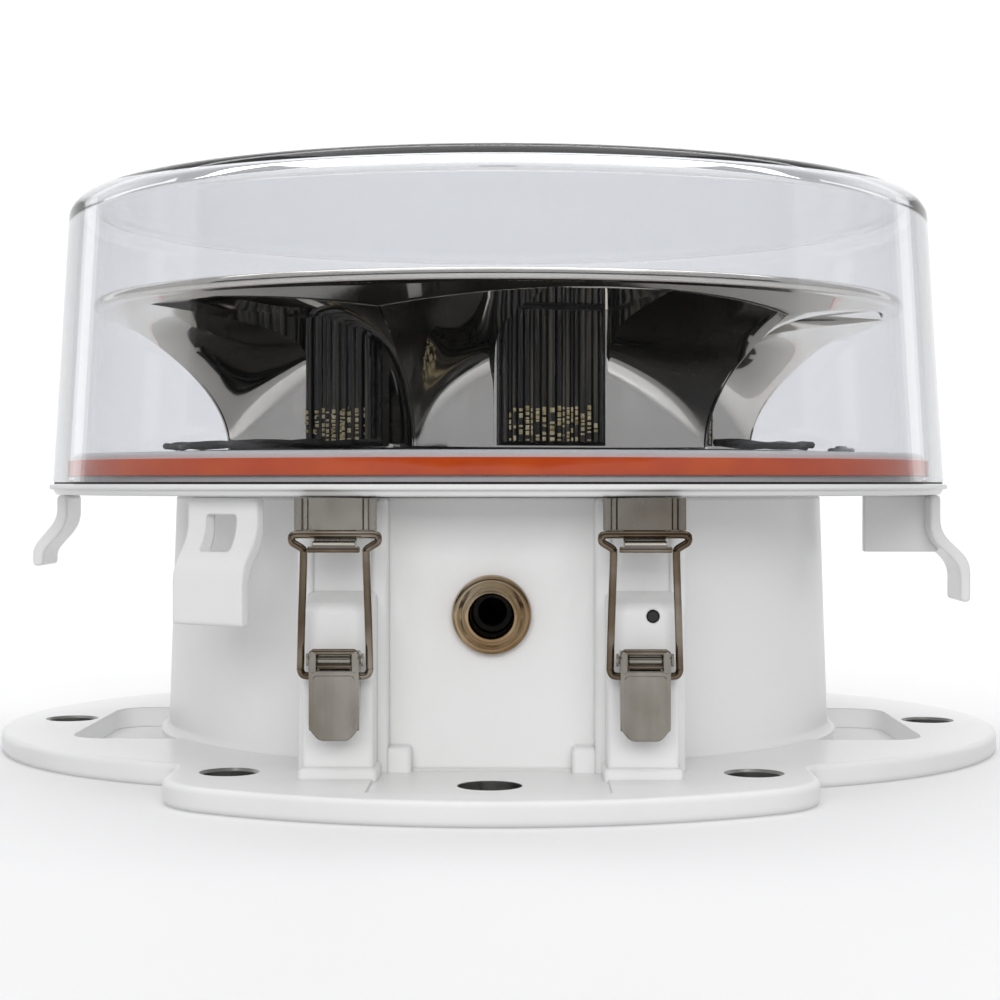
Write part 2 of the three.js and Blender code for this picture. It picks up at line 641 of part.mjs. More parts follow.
// One horn: flat throat behind the light panel, two wings sweeping out to the ridges. Local -Y
// points out of the horn's mouth.
function petal() {
  const rows = 6;
  const wing = 4;
  const half = Math.PI / REFLECTOR.petals;
  const front = [];
  const back = [];
  for (let j = 0; j <= rows; j += 1) {
    const z = REFLECTOR.bottom + ((REFLECTOR.top - REFLECTOR.bottom) * j) / rows;
    const reach = ridgeReach(z);
    const tip = [reach * Math.sin(half) - 0.2, reach * Math.cos(half)];
    for (const side of [-1, 1]) {
      for (let i = 0; i <= wing; i += 1) {
        const s = side < 0 ? 1 - i / wing : i / wing;
        const bow = s * s;
        const x = REFLECTOR.panelHalf + (tip[0] - REFLECTOR.panelHalf) * s;
        const u = REFLECTOR.throat + (tip[1] - REFLECTOR.throat) * (0.35 * s + 0.65 * bow);
        const thick = 2.2 + 1.6 * s;
        front.push([side * x, -u, z]);
        back.push([side * (x - 0.62 * thick * s), -(u - thick), z]);
      }
    }
  }
  const columns = 2 * (wing + 1);
  const points = [...front, ...back].flat();
  const index = [];
  const offset = front.length;
  const quad = (a, b, c, d) => index.push(a, b, c, a, c, d);
  for (let j = 0; j < rows; j += 1) {
    for (let i = 0; i < columns - 1; i += 1) {
      const a = j * columns + i;
      const [b, c, d] = [a + 1, a + columns + 1, a + columns];
      quad(a, b, c, d);
      quad(offset + a, offset + d, offset + c, offset + b);
    }
    const [l0, l1] = [j * columns, (j + 1) * columns];
    quad(l0, l1, offset + l1, offset + l0);
    const [r0, r1] = [l0 + columns - 1, l1 + columns - 1];
    quad(r0, offset + r0, offset + r1, r1);
  }
  for (let i = 0; i < columns - 1; i += 1) {
    const top = rows * columns + i;
    quad(i, offset + i, offset + i + 1, i + 1);
    quad(top, top + 1, offset + top + 1, offset + top);
  }
  const geometry = new THREE.BufferGeometry();
  geometry.setAttribute('position', new THREE.Float32BufferAttribute(points, 3));
  geometry.setIndex(index);
  return solid(geometry);
}

function reflectorCap() {
  const under = REFLECTOR.top + GAP;
  const disc = turned([
    [0, under], [REFLECTOR.rim - 1.2, under], [REFLECTOR.rim, under + 0.8], [REFLECTOR.rim, 167.4],
    [REFLECTOR.rim - 0.8, 168], [150, 168], [146, 166.4], [0, 166.4],
  ], ROUND);
  return disc.subtract(post(4.3, 160, 170, 0, 0, 16));
}

// Ribbed optic in front of the light board, its back at y.
function lightLens(y) {
  const pitch = 6;
  const ribs = [];
  for (let x = -18; x < 18; x += pitch) {
    ribs.push(box(x, x + 4.4, y - 3.2, y - 1, LIGHT.bottom, LIGHT.top));
  }
  return union([box(-18.5, 17.5, y - 1.2, y, LIGHT.bottom, LIGHT.top), ...ribs]);
}

function reflectorParts() {
  const step = 360 / REFLECTOR.petals;
  const boardBack = REFLECTOR.throat + GAP;
  for (let k = 0; k < REFLECTOR.petals; k += 1) {
    const azimuth = REFLECTOR.firstAzimuth + step * k;
    add(`reflector_petal_${k + 1}`, petal(), CHROME, azimuth);
    const boardFront = -boardBack - LIGHT.board;
    const board = box(-19.5, 19.5, boardFront, -boardBack, LIGHT.bottom - 1, LIGHT.top + 1);
    add(`led_board_${k + 1}`, board, BLACK_PLASTIC, azimuth);
    add(`led_lens_${k + 1}`, lightLens(boardFront - GAP), LED_LENS, azimuth);
  }
  add('reflector_cap', reflectorCap(), CHROME);
  add('cap_bolt', turned([
    [0, 158], [4, 158], [4, 166.4 + GAP], [8, 166.4 + GAP], [8, 170.4], [7, 171.4], [0, 171.4],
  ], 16), STAINLESS);
  const hub = turned([
    [10, TRAY.floor + GAP], [66, TRAY.floor + GAP], [66, 163.4], [4.3, 163.4], [4.3, 157.6], [10, 157.6],
  ], 24);
  add('heat_sink_hub', hub, ALUMINIUM);
  const ringBottom = TRAY.floor + GAP;
  add('led_base_ring', turned([
    [BASE_RING.inner, ringBottom], [BASE_RING.outer, ringBottom],
    [BASE_RING.outer, BASE_RING.top], [BASE_RING.inner, BASE_RING.top],
  ], ROUND), BLACK_PLASTIC);
}

// ---------- wiring on the tray ----------
function wiringParts() {
  const lead = (radius, from, to, wave) => {
    const points = [];
    const turns = 9;
    for (let i = 0; i <= turns; i += 1) {
      const azimuth = from + ((to - from) * i) / turns;
      const [x, y] = around(radius + wave * Math.sin(i * 1.7), azimuth);
      points.push([x, y, LEAD.height]);
    }
    return points;
  };
  add('harness_left', wire(lead(126, -74, -20, 2.5), LEAD.radius, 6, 20), BLACK_RUBBER);
  add('harness_right', wire(lead(127, 38, 62, 2), LEAD.radius, 6, 12), BLACK_RUBBER);
  const [x, y] = around(136, 68);
  const lug = post(5, TRAY.floor + GAP, 113, x, y, 12);
  add('ground_terminal', lug.add(post(3.6, 112.8, 116, x, y, 6)), ZINC);
}

baseParts();
glandParts();
driverParts();
latchParts();
hingeParts();
headParts();
reflectorParts();
wiringParts();

export default beacon;
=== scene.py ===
"""Looks of an LED obstruction beacon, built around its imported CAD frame."""
import json
import math
import random

import bmesh
import bpy
from mathutils import Matrix, Vector


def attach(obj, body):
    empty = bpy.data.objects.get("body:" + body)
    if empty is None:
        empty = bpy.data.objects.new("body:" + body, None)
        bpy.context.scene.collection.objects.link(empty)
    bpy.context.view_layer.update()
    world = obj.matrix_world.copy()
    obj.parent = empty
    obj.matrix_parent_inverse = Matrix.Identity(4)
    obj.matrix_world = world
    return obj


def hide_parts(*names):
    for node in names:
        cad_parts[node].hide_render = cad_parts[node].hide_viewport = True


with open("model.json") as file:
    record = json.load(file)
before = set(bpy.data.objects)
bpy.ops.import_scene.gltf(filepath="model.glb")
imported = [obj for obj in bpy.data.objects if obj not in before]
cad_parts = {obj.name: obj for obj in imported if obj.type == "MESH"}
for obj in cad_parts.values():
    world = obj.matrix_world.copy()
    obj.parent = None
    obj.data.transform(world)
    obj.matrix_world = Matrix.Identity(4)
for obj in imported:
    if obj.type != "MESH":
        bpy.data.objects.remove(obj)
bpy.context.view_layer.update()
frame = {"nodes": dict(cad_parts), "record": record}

MM = 0.001
TAU = 2 * math.pi


# ---------------------------------------------------------------- materials
def new_material(name):
    material = bpy.data.materials.new(name)
    material.use_nodes = True
    nodes = material.node_tree.nodes
    return material, nodes, material.node_tree.links, nodes["Principled BSDF"]


def noise(nodes, links, scale, detail=4.0, stretch=None):
    """A noise texture in object space, drawn out by stretch along each axis."""
    texture = nodes.new("ShaderNodeTexNoise")
    texture.inputs["Scale"].default_value = scale
    texture.inputs["Detail"].default_value = detail
    where = nodes.new("ShaderNodeTexCoord")
    if stretch is None:
        links.new(where.outputs["Object"], texture.inputs["Vector"])
        return texture
    mapping = nodes.new("ShaderNodeMapping")
    mapping.inputs["Scale"].default_value = stretch
    links.new(where.outputs["Object"], mapping.inputs["Vector"])
    links.new(mapping.outputs["Vector"], texture.inputs["Vector"])
    return texture


def spread(nodes, links, source, low, high, start=0.3, end=0.7):
    """The source's value between start and end, mapped to low..high."""
    node = nodes.new("ShaderNodeMapRange")
    node.inputs["From Min"].default_value = start
    node.inputs["From Max"].default_value = end
    node.inputs["To Min"].default_value = low
    node.inputs["To Max"].default_value = high
    links.new(source, node.inputs["Value"])
    return node.outputs["Result"]


def ramp(nodes, links, source, stops):
    node = nodes.new("ShaderNodeValToRGB")
    node.color_ramp.elements[0].position = stops[0][0]
    node.color_ramp.elements[0].color = (*stops[0][1], 1)
    node.color_ramp.elements[1].position = stops[-1][0]
    node.color_ramp.elements[1].color = (*stops[-1][1], 1)
    for position, colour in stops[1:-1]:
        node.color_ramp.elements.new(position).color = (*colour, 1)
    links.new(source, node.inputs["Fac"])
    return node.outputs["Color"]


def relief(nodes, links, height, strength, distance, rounding=0.0):
    """A bump from height, over edges rounded by that radius in metres."""
    bump = nodes.new("ShaderNodeBump")
    bump.inputs["Strength"].default_value = strength
    bump.inputs["Distance"].default_value = distance
    links.new(height, bump.inputs["Height"])
    if rounding:
        bevel = nodes.new("ShaderNodeBevel")
        bevel.samples = 4
        bevel.inputs["Radius"].default_value = rounding
        links.new(bevel.outputs["Normal"], bump.inputs["Normal"])
    return bump.outputs["Normal"]


def paint_material():
    """White powder coat: fine orange peel, faint grime, and edges and creases mixed towards grey, which is
    painted shade there with slight rubbing on the outer edges.
    """
    material, nodes, links, shader = new_material("white_powder_coat")
    grime = noise(nodes, links, scale=14, detail=6)
    colour = ramp(nodes, links, grime.outputs["Fac"], [
        (0.30, (0.83, 0.83, 0.82)), (0.52, (0.88, 0.88, 0.875)), (0.75, (0.90, 0.90, 0.895)),
    ])
    rounded = nodes.new("ShaderNodeBevel")
    rounded.samples = 4
    rounded.inputs["Radius"].default_value = 0.0012
    flat = nodes.new("ShaderNodeNewGeometry")
    edge_shade_and_wear = nodes.new("ShaderNodeVectorMath")
    edge_shade_and_wear.operation = "DOT_PRODUCT"
    links.new(rounded.outputs["Normal"], edge_shade_and_wear.inputs[0])
    links.new(flat.outputs["Normal"], edge_shade_and_wear.inputs[1])
    # Painted shade: where the rounded normal parts from the flat one, at edges and in creases, the colour
    # goes grey; on outer edges this also stands for slight rubbing.
    edge = spread(nodes, links, edge_shade_and_wear.outputs["Value"], 0.30, 0.0, start=0.80, end=0.98)
    shade_and_wear_mix = nodes.new("ShaderNodeMix")
    shade_and_wear_mix.data_type = "RGBA"
    links.new(edge, shade_and_wear_mix.inputs["Factor"])
    links.new(colour, shade_and_wear_mix.inputs["A"])
    shade_and_wear_mix.inputs["B"].default_value = (0.62, 0.62, 0.60, 1)
    links.new(shade_and_wear_mix.outputs["Result"], shader.inputs["Base Color"])
    peel = noise(nodes, links, scale=620, detail=3)
    links.new(spread(nodes, links, grime.outputs["Fac"], 0.30, 0.44), shader.inputs["Roughness"])
    normal = relief(nodes, links, peel.outputs["Fac"], strength=0.12, distance=0.0004, rounding=0.0011)
    links.new(normal, shader.inputs["Normal"])
    shader.inputs["Coat Weight"].default_value = 0.25
    shader.inputs["Coat Roughness"].default_value = 0.2
    return material


def metal_material(name, stops, rough, grain=(1, 1, 1), rounding=0.0004):
    """Polished or brushed metal: tone drifts through the stops, fine scratches along the grain."""
    material, nodes, links, shader = new_material(name)
    shader.inputs["Metallic"].default_value = 1.0
    tone = noise(nodes, links, scale=30, detail=5)
    links.new(ramp(nodes, links, tone.outputs["Fac"], stops), shader.inputs["Base Color"])
    scratches = noise(nodes, links, scale=220, detail=6, stretch=grain)
    links.new(spread(nodes, links, scratches.outputs["Fac"], *rough), shader.inputs["Roughness"])
    normal = relief(nodes, links, scratches.outputs["Fac"], 0.05, 0.0002, rounding)
    links.new(normal, shader.inputs["Normal"])
    return material


def chrome_material():
    """Vacuum-metallised mirror with the faintest haze and ripple."""
    material, nodes, links, shader = new_material("mirror_chrome")
    shader.inputs["Metallic"].default_value = 1.0
    haze = noise(nodes, links, scale=38, detail=5)
    links.new(ramp(nodes, links, haze.outputs["Fac"], [
        (0.3, (0.82, 0.785, 0.72)), (0.7, (0.89, 0.865, 0.81)),
    ]), shader.inputs["Base Color"])
    links.new(spread(nodes, links, haze.outputs["Fac"], 0.03, 0.10), shader.inputs["Roughness"])
    ripple = noise(nodes, links, scale=22, detail=2)
    normal = relief(nodes, links, ripple.outputs["Fac"], strength=0.05, distance=0.0006)
    links.new(normal, shader.inputs["Normal"])
    return material


def dull_material(name, low, high, rough, scale, strength, distance):
    """Rubber, plastic or board: colour drifts between low and high, with a moulded grain."""
    material, nodes, links, shader = new_material(name)
    grain = noise(nodes, links, scale, detail=5)
    colour = ramp(nodes, links, grain.outputs["Fac"], [(0.32, low), (0.68, high)])
    links.new(colour, shader.inputs["Base Color"])
    links.new(spread(nodes, links, grain.outputs["Fac"], *rough), shader.inputs["Roughness"])
    normal = relief(nodes, links, grain.outputs["Fac"], strength, distance, rounding=0.0004)
    links.new(normal, shader.inputs["Normal"])
    return material


def clear_material():
    """Clear moulded acrylic, faintly cool, which lets lamplight through."""
    material, nodes, links, shader = new_material("clear_acrylic")
    shader.inputs["Base Color"].default_value = (0.83, 0.84, 0.86, 1)
    shader.inputs["Transmission Weight"].default_value = 1.0
    shader.inputs["IOR"].default_value = 1.49
    haze = noise(nodes, links, scale=16, detail=4)
    links.new(spread(nodes, links, haze.outputs["Fac"], 0.0, 0.02), shader.inputs["Roughness"])
    flow = noise(nodes, links, scale=7, detail=1)
    normal = relief(nodes, links, flow.outputs["Fac"], strength=0.05, distance=0.0008)
    links.new(normal, shader.inputs["Normal"])
    open_way = nodes.new("ShaderNodeBsdfTransparent")
    open_way.inputs["Color"].default_value = (0.93, 0.935, 0.95, 1)
    path = nodes.new("ShaderNodeLightPath")
    mix = nodes.new("ShaderNodeMixShader")
    links.new(path.outputs["Is Shadow Ray"], mix.inputs["Fac"])
    links.new(shader.outputs["BSDF"], mix.inputs[1])
    links.new(open_way.outputs["BSDF"], mix.inputs[2])
    links.new(mix.outputs["Shader"], nodes["Material Output"].inputs["Surface"])
    return material


def streaked_material():
    """Smoked optic: near black, with pale upright streaks painted into its colour as highlights where the
    glass would catch light.
    """
    material, nodes, links, shader = new_material("smoked_optic")
    highlight_streak = noise(nodes, links, scale=420, detail=3, stretch=(1, 1, 0.02))
    # The pale end of this ramp is a painted highlight along the ribs.
    links.new(ramp(nodes, links, highlight_streak.outputs["Fac"], [
        (0.40, (0.006, 0.006, 0.005)), (0.55, (0.030, 0.028, 0.022)), (0.72, (0.19, 0.17, 0.13)),
    ]), shader.inputs["Base Color"])
    links.new(spread(nodes, links, highlight_streak.outputs["Fac"], 0.05, 0.18), shader.inputs["Roughness"])
    shader.inputs["IOR"].default_value = 1.6
    normal = relief(nodes, links, highlight_streak.outputs["Fac"], strength=0.04, distance=0.0002)
    links.new(normal, shader.inputs["Normal"])
    return material


PAINT = paint_material()
CHROME = chrome_material()
CLEAR = clear_material()
STAINLESS = metal_material(
    "polished_stainless",
    [(0.30, (0.19, 0.165, 0.135)), (0.50, (0.29, 0.27, 0.235)), (0.72, (0.40, 0.38, 0.34))],
    rough=(0.16, 0.28), grain=(1, 1, 0.08), rounding=0.0003,
)
WIRE = metal_material(
    "drawn_stainless",
    [(0.30, (0.045, 0.026, 0.012)), (0.50, (0.15, 0.115, 0.08)), (0.72, (0.34, 0.30, 0.25))],
    rough=(0.05, 0.14), rounding=0.0,
)
# Bolt-hole walls: bare machined metal, toned dark grey as painted shade inside the holes.
BORE_METAL_AND_SHADE = metal_material(
    "bore_metal_painted_shade",
    [(0.3, (0.20, 0.205, 0.195)), (0.7, (0.40, 0.405, 0.39))],
    rough=(0.25, 0.45), grain=(1, 1, 0.2),
)
NICKEL = metal_material(
    "nickel_brass",
    [(0.30, (0.22, 0.125, 0.05)), (0.50, (0.40, 0.29, 0.17)), (0.72, (0.60, 0.50, 0.37))],
    rough=(0.12, 0.26), grain=(0.2, 1, 0.2),
)
ZINC = metal_material(
    "zinc_plate",
    [(0.3, (0.52, 0.53, 0.55)), (0.7, (0.72, 0.73, 0.75))],
    rough=(0.28, 0.45),
)
ALUMINIUM = metal_material(
    "extruded_aluminium",
    [(0.3, (0.42, 0.43, 0.44)), (0.7, (0.58, 0.59, 0.60))],
    rough=(0.3, 0.5), grain=(1, 1, 0.05),
)
SILICONE = dull_material(
    "orange_silicone", (0.80, 0.075, 0.0), (0.92, 0.12, 0.0), (0.42, 0.6),
    scale=60, strength=0.1, distance=0.0003,
)
RUBBER = dull_material(
    "black_rubber", (0.008, 0.008, 0.008), (0.022, 0.021, 0.02), (0.45, 0.65),
    scale=300, strength=0.15, distance=0.0003,
)
PLASTIC = dull_material(
    "black_plastic", (0.012, 0.011, 0.010), (0.03, 0.027, 0.024), (0.25, 0.42),
    scale=400, strength=0.1, distance=0.0002,
)
BOARD = dull_material(
    "circuit_board", (0.015, 0.085, 0.03), (0.03, 0.13, 0.05), (0.3, 0.5),
    scale=180, strength=0.08, distance=0.0002,
)
COPPER = dull_material(
    "varnished_copper", (0.22, 0.07, 0.02), (0.42, 0.16, 0.06), (0.25, 0.4),
    scale=240, strength=0.2, distance=0.0004,
)
LENS = streaked_material()
GOLD = dull_material(
    "led_chip_gold", (0.42, 0.32, 0.13), (0.95, 0.84, 0.56), (0.25, 0.4),
    scale=500, strength=0.1, distance=0.0002,
)

MATERIAL_OF_SLOT = {
    "paint": PAINT, "chrome": CHROME, "stainless": STAINLESS, "nickel": NICKEL, "zinc": ZINC,
    "silicone": SILICONE, "black_rubber": RUBBER, "black_plastic": PLASTIC, "board": BOARD,
    "copper": COPPER, "led_lens": LENS, "aluminium": ALUMINIUM, "clear": CLEAR,
}
SLOT_OF_MATERIAL = {material.name: slot for slot, material in MATERIAL_OF_SLOT.items()}
SLOT_OF_MATERIAL[GOLD.name] = "nickel"
SLOT_OF_MATERIAL[WIRE.name] = "stainless"


# ---------------------------------------------------------------- mesh helpers
def mesh_object(name, vertices, faces, material, sharp=35):
    """A mesh object from millimetre coordinates, smooth but for edges over `sharp` degrees."""
    mesh = bpy.data.meshes.new(name)
    mesh.from_pydata([[c * MM for c in v] for v in vertices], [], faces)
    body = bmesh.new()
    body.from_mesh(mesh)
    bmesh.ops.recalc_face_normals(body, faces=body.faces)
    body.to_mesh(mesh)
    body.free()
    mesh.materials.append(material)
    thing = bpy.data.objects.new(name, mesh)
    bpy.context.scene.collection.objects.link(thing)
    shade(thing, sharp)
    return thing


def shade(thing, sharp=35):
    thing.data.polygons.foreach_set("use_smooth", [True] * len(thing.data.polygons))
    thing.data.set_sharp_from_angle(angle=math.radians(sharp))


def apply_modifiers(thing, sharp=35):
    bpy.context.view_layer.update()
    seen = thing.evaluated_get(bpy.context.evaluated_depsgraph_get())
    mesh = bpy.data.meshes.new_from_object(seen)
    old = thing.data
    thing.modifiers.clear()
    thing.data = mesh
    bpy.data.meshes.remove(old)
    shade(thing, sharp)
    return thing


def bevelled(thing, width, segments=3, angle=40):
    bevel = thing.modifiers.new("edge", "BEVEL")
    bevel.width = width * MM
    bevel.segments = segments
    bevel.limit_method = "ANGLE"
    bevel.angle_limit = math.radians(angle)
    return apply_modifiers(thing)


def combine(thing, others, operation):
    """thing joined with or cut by the others, which are used up; new faces take their materials."""
    for other in others:
        cut = thing.modifiers.new("combine", "BOOLEAN")
        cut.operation = operation
        cut.solver = "EXACT"
        cut.material_mode = "TRANSFER"
        cut.object = other
        apply_modifiers(thing)
        bpy.data.objects.remove(other)
    return thing


def gather(name, things):
    """Several separate shells as one object that keeps their materials."""
    body = bmesh.new()
    materials = []
    for thing in things:
        start = len(body.faces)
        body.from_mesh(thing.data)
        body.faces.ensure_lookup_table()
        material = thing.data.materials[0]
        if material not in materials:
            materials.append(material)
        for face in body.faces[start:]:
            face.material_index = materials.index(material)
    mesh = bpy.data.meshes.new(name)
    body.to_mesh(mesh)
    body.free()
    for material in materials:
        mesh.materials.append(material)
    result = bpy.data.objects.new(name, mesh)
    bpy.context.scene.collection.objects.link(result)
    for thing in things:
        bpy.data.objects.remove(thing)
    shade(result)
    return result


def settle(thing, body, *nodes):
    """thing rides on a body and stands for the nodes, which are hidden."""
    flatten = thing.modifiers.new("normals", "WEIGHTED_NORMAL")
    flatten.keep_sharp = True
    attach(thing, body)
    if nodes:
        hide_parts(*nodes)
    return thing


def soften(points, radius, steps=4, closed=True):
    """The outline with each corner turned into a curve that starts `radius` before it."""
    out = []
    count = len(points)
    for i, corner in enumerate(points):
        if not closed and i in (0, count - 1):
            out.append(corner)
            continue
        here = Vector(corner)
        before = Vector(points[i - 1]) - here
        after = Vector(points[(i + 1) % count]) - here
        reach = min(radius, before.length * 0.45, after.length * 0.45)
        start = here + before.normalized() * reach
        end = here + after.normalized() * reach
        for k in range(steps + 1):
            t = k / steps
            out.append(tuple((1 - t) ** 2 * start + 2 * t * (1 - t) * here + t ** 2 * end))
    return out


def swept_ring(name, profile_at, material, segments, sharp=35):
    """A closed profile of (radius, height), given for each angle, carried round the Z axis."""
    vertices = []
    faces = []
    rows = len(profile_at(0.0))
    for j in range(segments):
        angle = TAU * j / segments
        for radius, height in profile_at(angle):
            vertices.append((radius * math.sin(angle), -radius * math.cos(angle), height))
    for j in range(segments):
        k = (j + 1) % segments
        for i in range(rows):
            n = (i + 1) % rows
            faces.append((j * rows + i, j * rows + n, k * rows + n, k * rows + i))
    thing = mesh_object(name, vertices, faces, material, sharp)
    body = bmesh.new()
    body.from_mesh(thing.data)
    bmesh.ops.remove_doubles(body, verts=body.verts, dist=1e-7)
    bmesh.ops.dissolve_degenerate(body, edges=body.edges, dist=1e-7)
    bmesh.ops.recalc_face_normals(body, faces=body.faces)
    body.to_mesh(thing.data)
    body.free()
    shade(thing, sharp)
    return thing


def lathe(name, profile, material, segments=160, sharp=35):
    return swept_ring(name, lambda angle: profile, material, segments, sharp)


def aim(thing, axis, x, y, z):
    """Turns a piece made along Z to lie along X or Y, then moves it, in its vertices."""
    turn = {
        "x": Matrix.Rotation(math.pi / 2, 4, "Y"),
        "y": Matrix.Rotation(-math.pi / 2, 4, "X"),
        "z": Matrix.Identity(4),
    }
    thing.data.transform(Matrix.Translation(Vector((x, y, z)) * MM) @ turn[axis])
    return thing


def rod(name, radius, start, end, material, axis="z", x=0, y=0, z=0, segments=40, edge=0.3):
    """A round bar along an axis, with its ends chamfered by edge."""
    profile = [
        (0, start), (radius - edge, start), (radius, start + edge),
        (radius, end - edge), (radius - edge, end), (0, end),
    ]
    return aim(lathe(name, profile, material, segments), axis, x, y, z)


def prism(name, outline, low, high, material, plane="xy", bevel=0.0, segments=3, angle=40):
    """An outline raised from low to high: plane xy rises along Z, yz along X, xz along Y."""
    order = {
        "xy": lambda a, b, rise: (a, b, rise),
        "yz": lambda a, b, rise: (rise, a, b),
        "xz": lambda a, b, rise: (a, rise, b),
    }[plane]
    count = len(outline)
    vertices = [order(a, b, low) for a, b in outline] + [order(a, b, high) for a, b in outline]
    faces = [tuple(range(count)), tuple(range(count, 2 * count))]
    faces += [(i, (i + 1) % count, count + (i + 1) % count, count + i) for i in range(count)]
    thing = mesh_object(name, vertices, faces, material)
    return bevelled(thing, bevel, segments, angle) if bevel else thing


def block(name, x0, x1, y0, y1, z0, z1, material, bevel=1.0):
    outline = [(x0, y0), (x1, y0), (x1, y1), (x0, y1)]
    return prism(name, outline, z0, z1, material, bevel=bevel)


def tube(name, points, radius, material, sides=16, per_span=8, closed=False):
    """A round wire through the points (Catmull-Rom), with closed ends."""
    path = [Vector(p) for p in points]
    count = len(path)
    line = []
    spans = count if closed else count - 1
    for i in range(spans):
        p0 = path[i - 1] if closed or i > 0 else path[0]
        p1 = path[i]
        p2 = path[(i + 1) % count]
        p3 = path[(i + 2) % count] if closed or i + 2 < count else path[-1]
        for k in range(per_span):
            t = k / per_span
            squared = (2 * p0 - 5 * p1 + 4 * p2 - p3) * t ** 2
            cubed = (3 * p1 - p0 - 3 * p2 + p3) * t ** 3
            line.append(0.5 * (2 * p1 + (p2 - p0) * t + squared + cubed))
    if not closed:
        line.append(path[-1])
    vertices = []
    total = len(line)
    normal = None
    for i, here in enumerate(line):
        ahead = line[(i + 1) % total] if closed or i + 1 < total else here
        behind = line[i - 1] if closed or i > 0 else here
        along = (ahead - behind).normalized()
        if normal is None:
            normal = along.orthogonal().normalized()
        normal = (normal - along * normal.dot(along)).normalized()
        side = along.cross(normal)
        for k in range(sides):
            angle = TAU * k / sides
            vertices.append(here + (normal * math.cos(angle) + side * math.sin(angle)) * radius)
    faces = []
    for i in range(total if closed else total - 1):
        j = (i + 1) % total
        for k in range(sides):
            n = (k + 1) % sides
            faces.append((i * sides + k, i * sides + n, j * sides + n, j * sides + k))
    if not closed:
        faces += [tuple(range(sides)), tuple(range((total - 1) * sides, total * sides))]
    return mesh_object(name, vertices, faces, material, 50)


def around(radius, azimuth):
    """A point at an azimuth in degrees from the front (-Y) towards +X."""
    return radius * math.sin(math.radians(azimuth)), -radius * math.cos(math.radians(azimuth))


def turn_about_axis(thing, azimuth):
    thing.data.transform(Matrix.Rotation(math.radians(azimuth), 4, "Z"))
    return thing


# ---------------------------------------------------------------- base casting
FLANGE_THICK = 8
FLOOR = 9
RIM = 96.2
UNDER_TRAY = 96.2
POST_TOP = 96.1
PANEL_HALF_WIDTH = 37
GLAND_Z = 58
HINGE_YZ = (181, 97)
BOLT_CIRCLE = 168.275
BOLTS = ((0, 10), (30, 8.75), (90, 9.25), (150, 8.75), (180, 10), (210, 8.75), (270, 9.25), (330, 8.75))
LATCHES = (("left", -48), ("right", 48))


def flange_outline():
    """Front, back and side lobes: one quarter is drawn, and mirrored to the other three."""
    lobe_radius, lobe_y, lobe_half = 169, -35.5, 104
    side_radius, side_x = 136, 55.5
    arc_end = math.asin(90 / lobe_radius)
    quarter = []
    for i in range(25):
        angle = arc_end * i / 24
        quarter.append((lobe_radius * math.sin(angle), lobe_y - lobe_radius * math.cos(angle)))
    corner = Vector((lobe_half, -168.7))
    start = Vector(quarter[-1])
    end = Vector((lobe_half, -153))
    for i in range(1, 9):
        t = i / 8
        quarter.append(tuple((1 - t) ** 2 * start + 2 * t * (1 - t) * corner + t ** 2 * end))
    quarter += [(lobe_half, -134), (lobe_half + 1.5, -128.3)]
    turn = math.acos((lobe_half - side_x) / side_radius)
    for i in range(1, 33):
        angle = turn * (1 - i / 32)
        if angle < turn - 0.03:
            quarter.append((side_x + side_radius * math.cos(angle), -side_radius * math.sin(angle)))
    points = []
    for sx, sy, back in ((1, 1, False), (1, -1, True), (-1, -1, False), (-1, 1, True)):
        run = [(sx * x, sy * y) for x, y in quarter]
        points += run[::-1][:-1] if back else run[:-1]
    return points


def base_shell():
    """Round body with its floor, foot fillet and the seal groove in its rim."""
    foot_radius, foot_z, fillet = 127.6, 7.6, 3.2
    groove_floor = 93
    turns = [math.pi / 2 * i / 6 for i in range(7)]
    foot = [(foot_radius + fillet * (1 - math.sin(t)), foot_z + fillet * (1 - math.cos(t))) for t in turns]
    rim = [
        (124.9, RIM - 1), (124, RIM), (122.7, RIM), (122.7, groove_floor),
        (119.1, groove_floor), (119.1, RIM), (117.6, RIM), (117, RIM - 0.6),
    ]
    inside = [(118.5, FLOOR + 3), (115.5, FLOOR), (0, FLOOR)]
    return lathe("base_shell", [(0, 1), (129, 1)] + foot + rim + inside, PAINT, 224)


def latch_boss(centre):
    """The post that carries one latch, with a recessed stem up to the rim and a stepped foot."""
    back, front, stem_front = -116, -160, -142
    post_half, stem_half, foot_half = 11.2, 9.9, 12.4
    rib_near, rib_far, rib_front = 9.3, 14.6, -143.4
    post = [(back, 5), (front, 5), (front, 60.5), (front + 3, 63), (-141, 66), (back, 68)]
    stem = [(back, 55), (stem_front, 55), (stem_front, 86), (stem_front + 5, POST_TOP), (back, POST_TOP)]
    return [
        prism("boss", soften(post, 3), centre - post_half, centre + post_half, PAINT, "yz", 1.6),
        prism("stem", soften(stem, 4), centre - stem_half, centre + stem_half, PAINT, "yz", 0.8),
        block("foot", centre - foot_half, centre + foot_half, -162.2, -120, 4, 11.5, PAINT, 1.6),
        block("rib", centre - rib_far, centre - rib_near, rib_front, back, 5, POST_TOP, PAINT, 1.6),
        block("rib", centre + rib_near, centre + rib_far, rib_front, back, 5, POST_TOP, PAINT, 1.6),
    ]


def hinge_lugs():
    """Two arms behind the rim, each ending in an eye for the hinge pin."""
    near, far, eye_radius = 26, 38, 7.4
    root, tip, top = 110, 185.5, 93
    arm = [(root, 66), (124, 66), (174, 84.5), (tip, 90.6), (tip, top), (root, top)]
    parts = []
    for side in (-1, 1):
        x0, x1 = sorted((side * near, side * far))
        parts.append(prism("lug", soften(arm, 3), x0, x1, PAINT, "yz", 1.2))
        parts.append(rod("eye", eye_radius, x0, x1, PAINT, "x", 0, *HINGE_YZ, edge=0.8))
    return parts


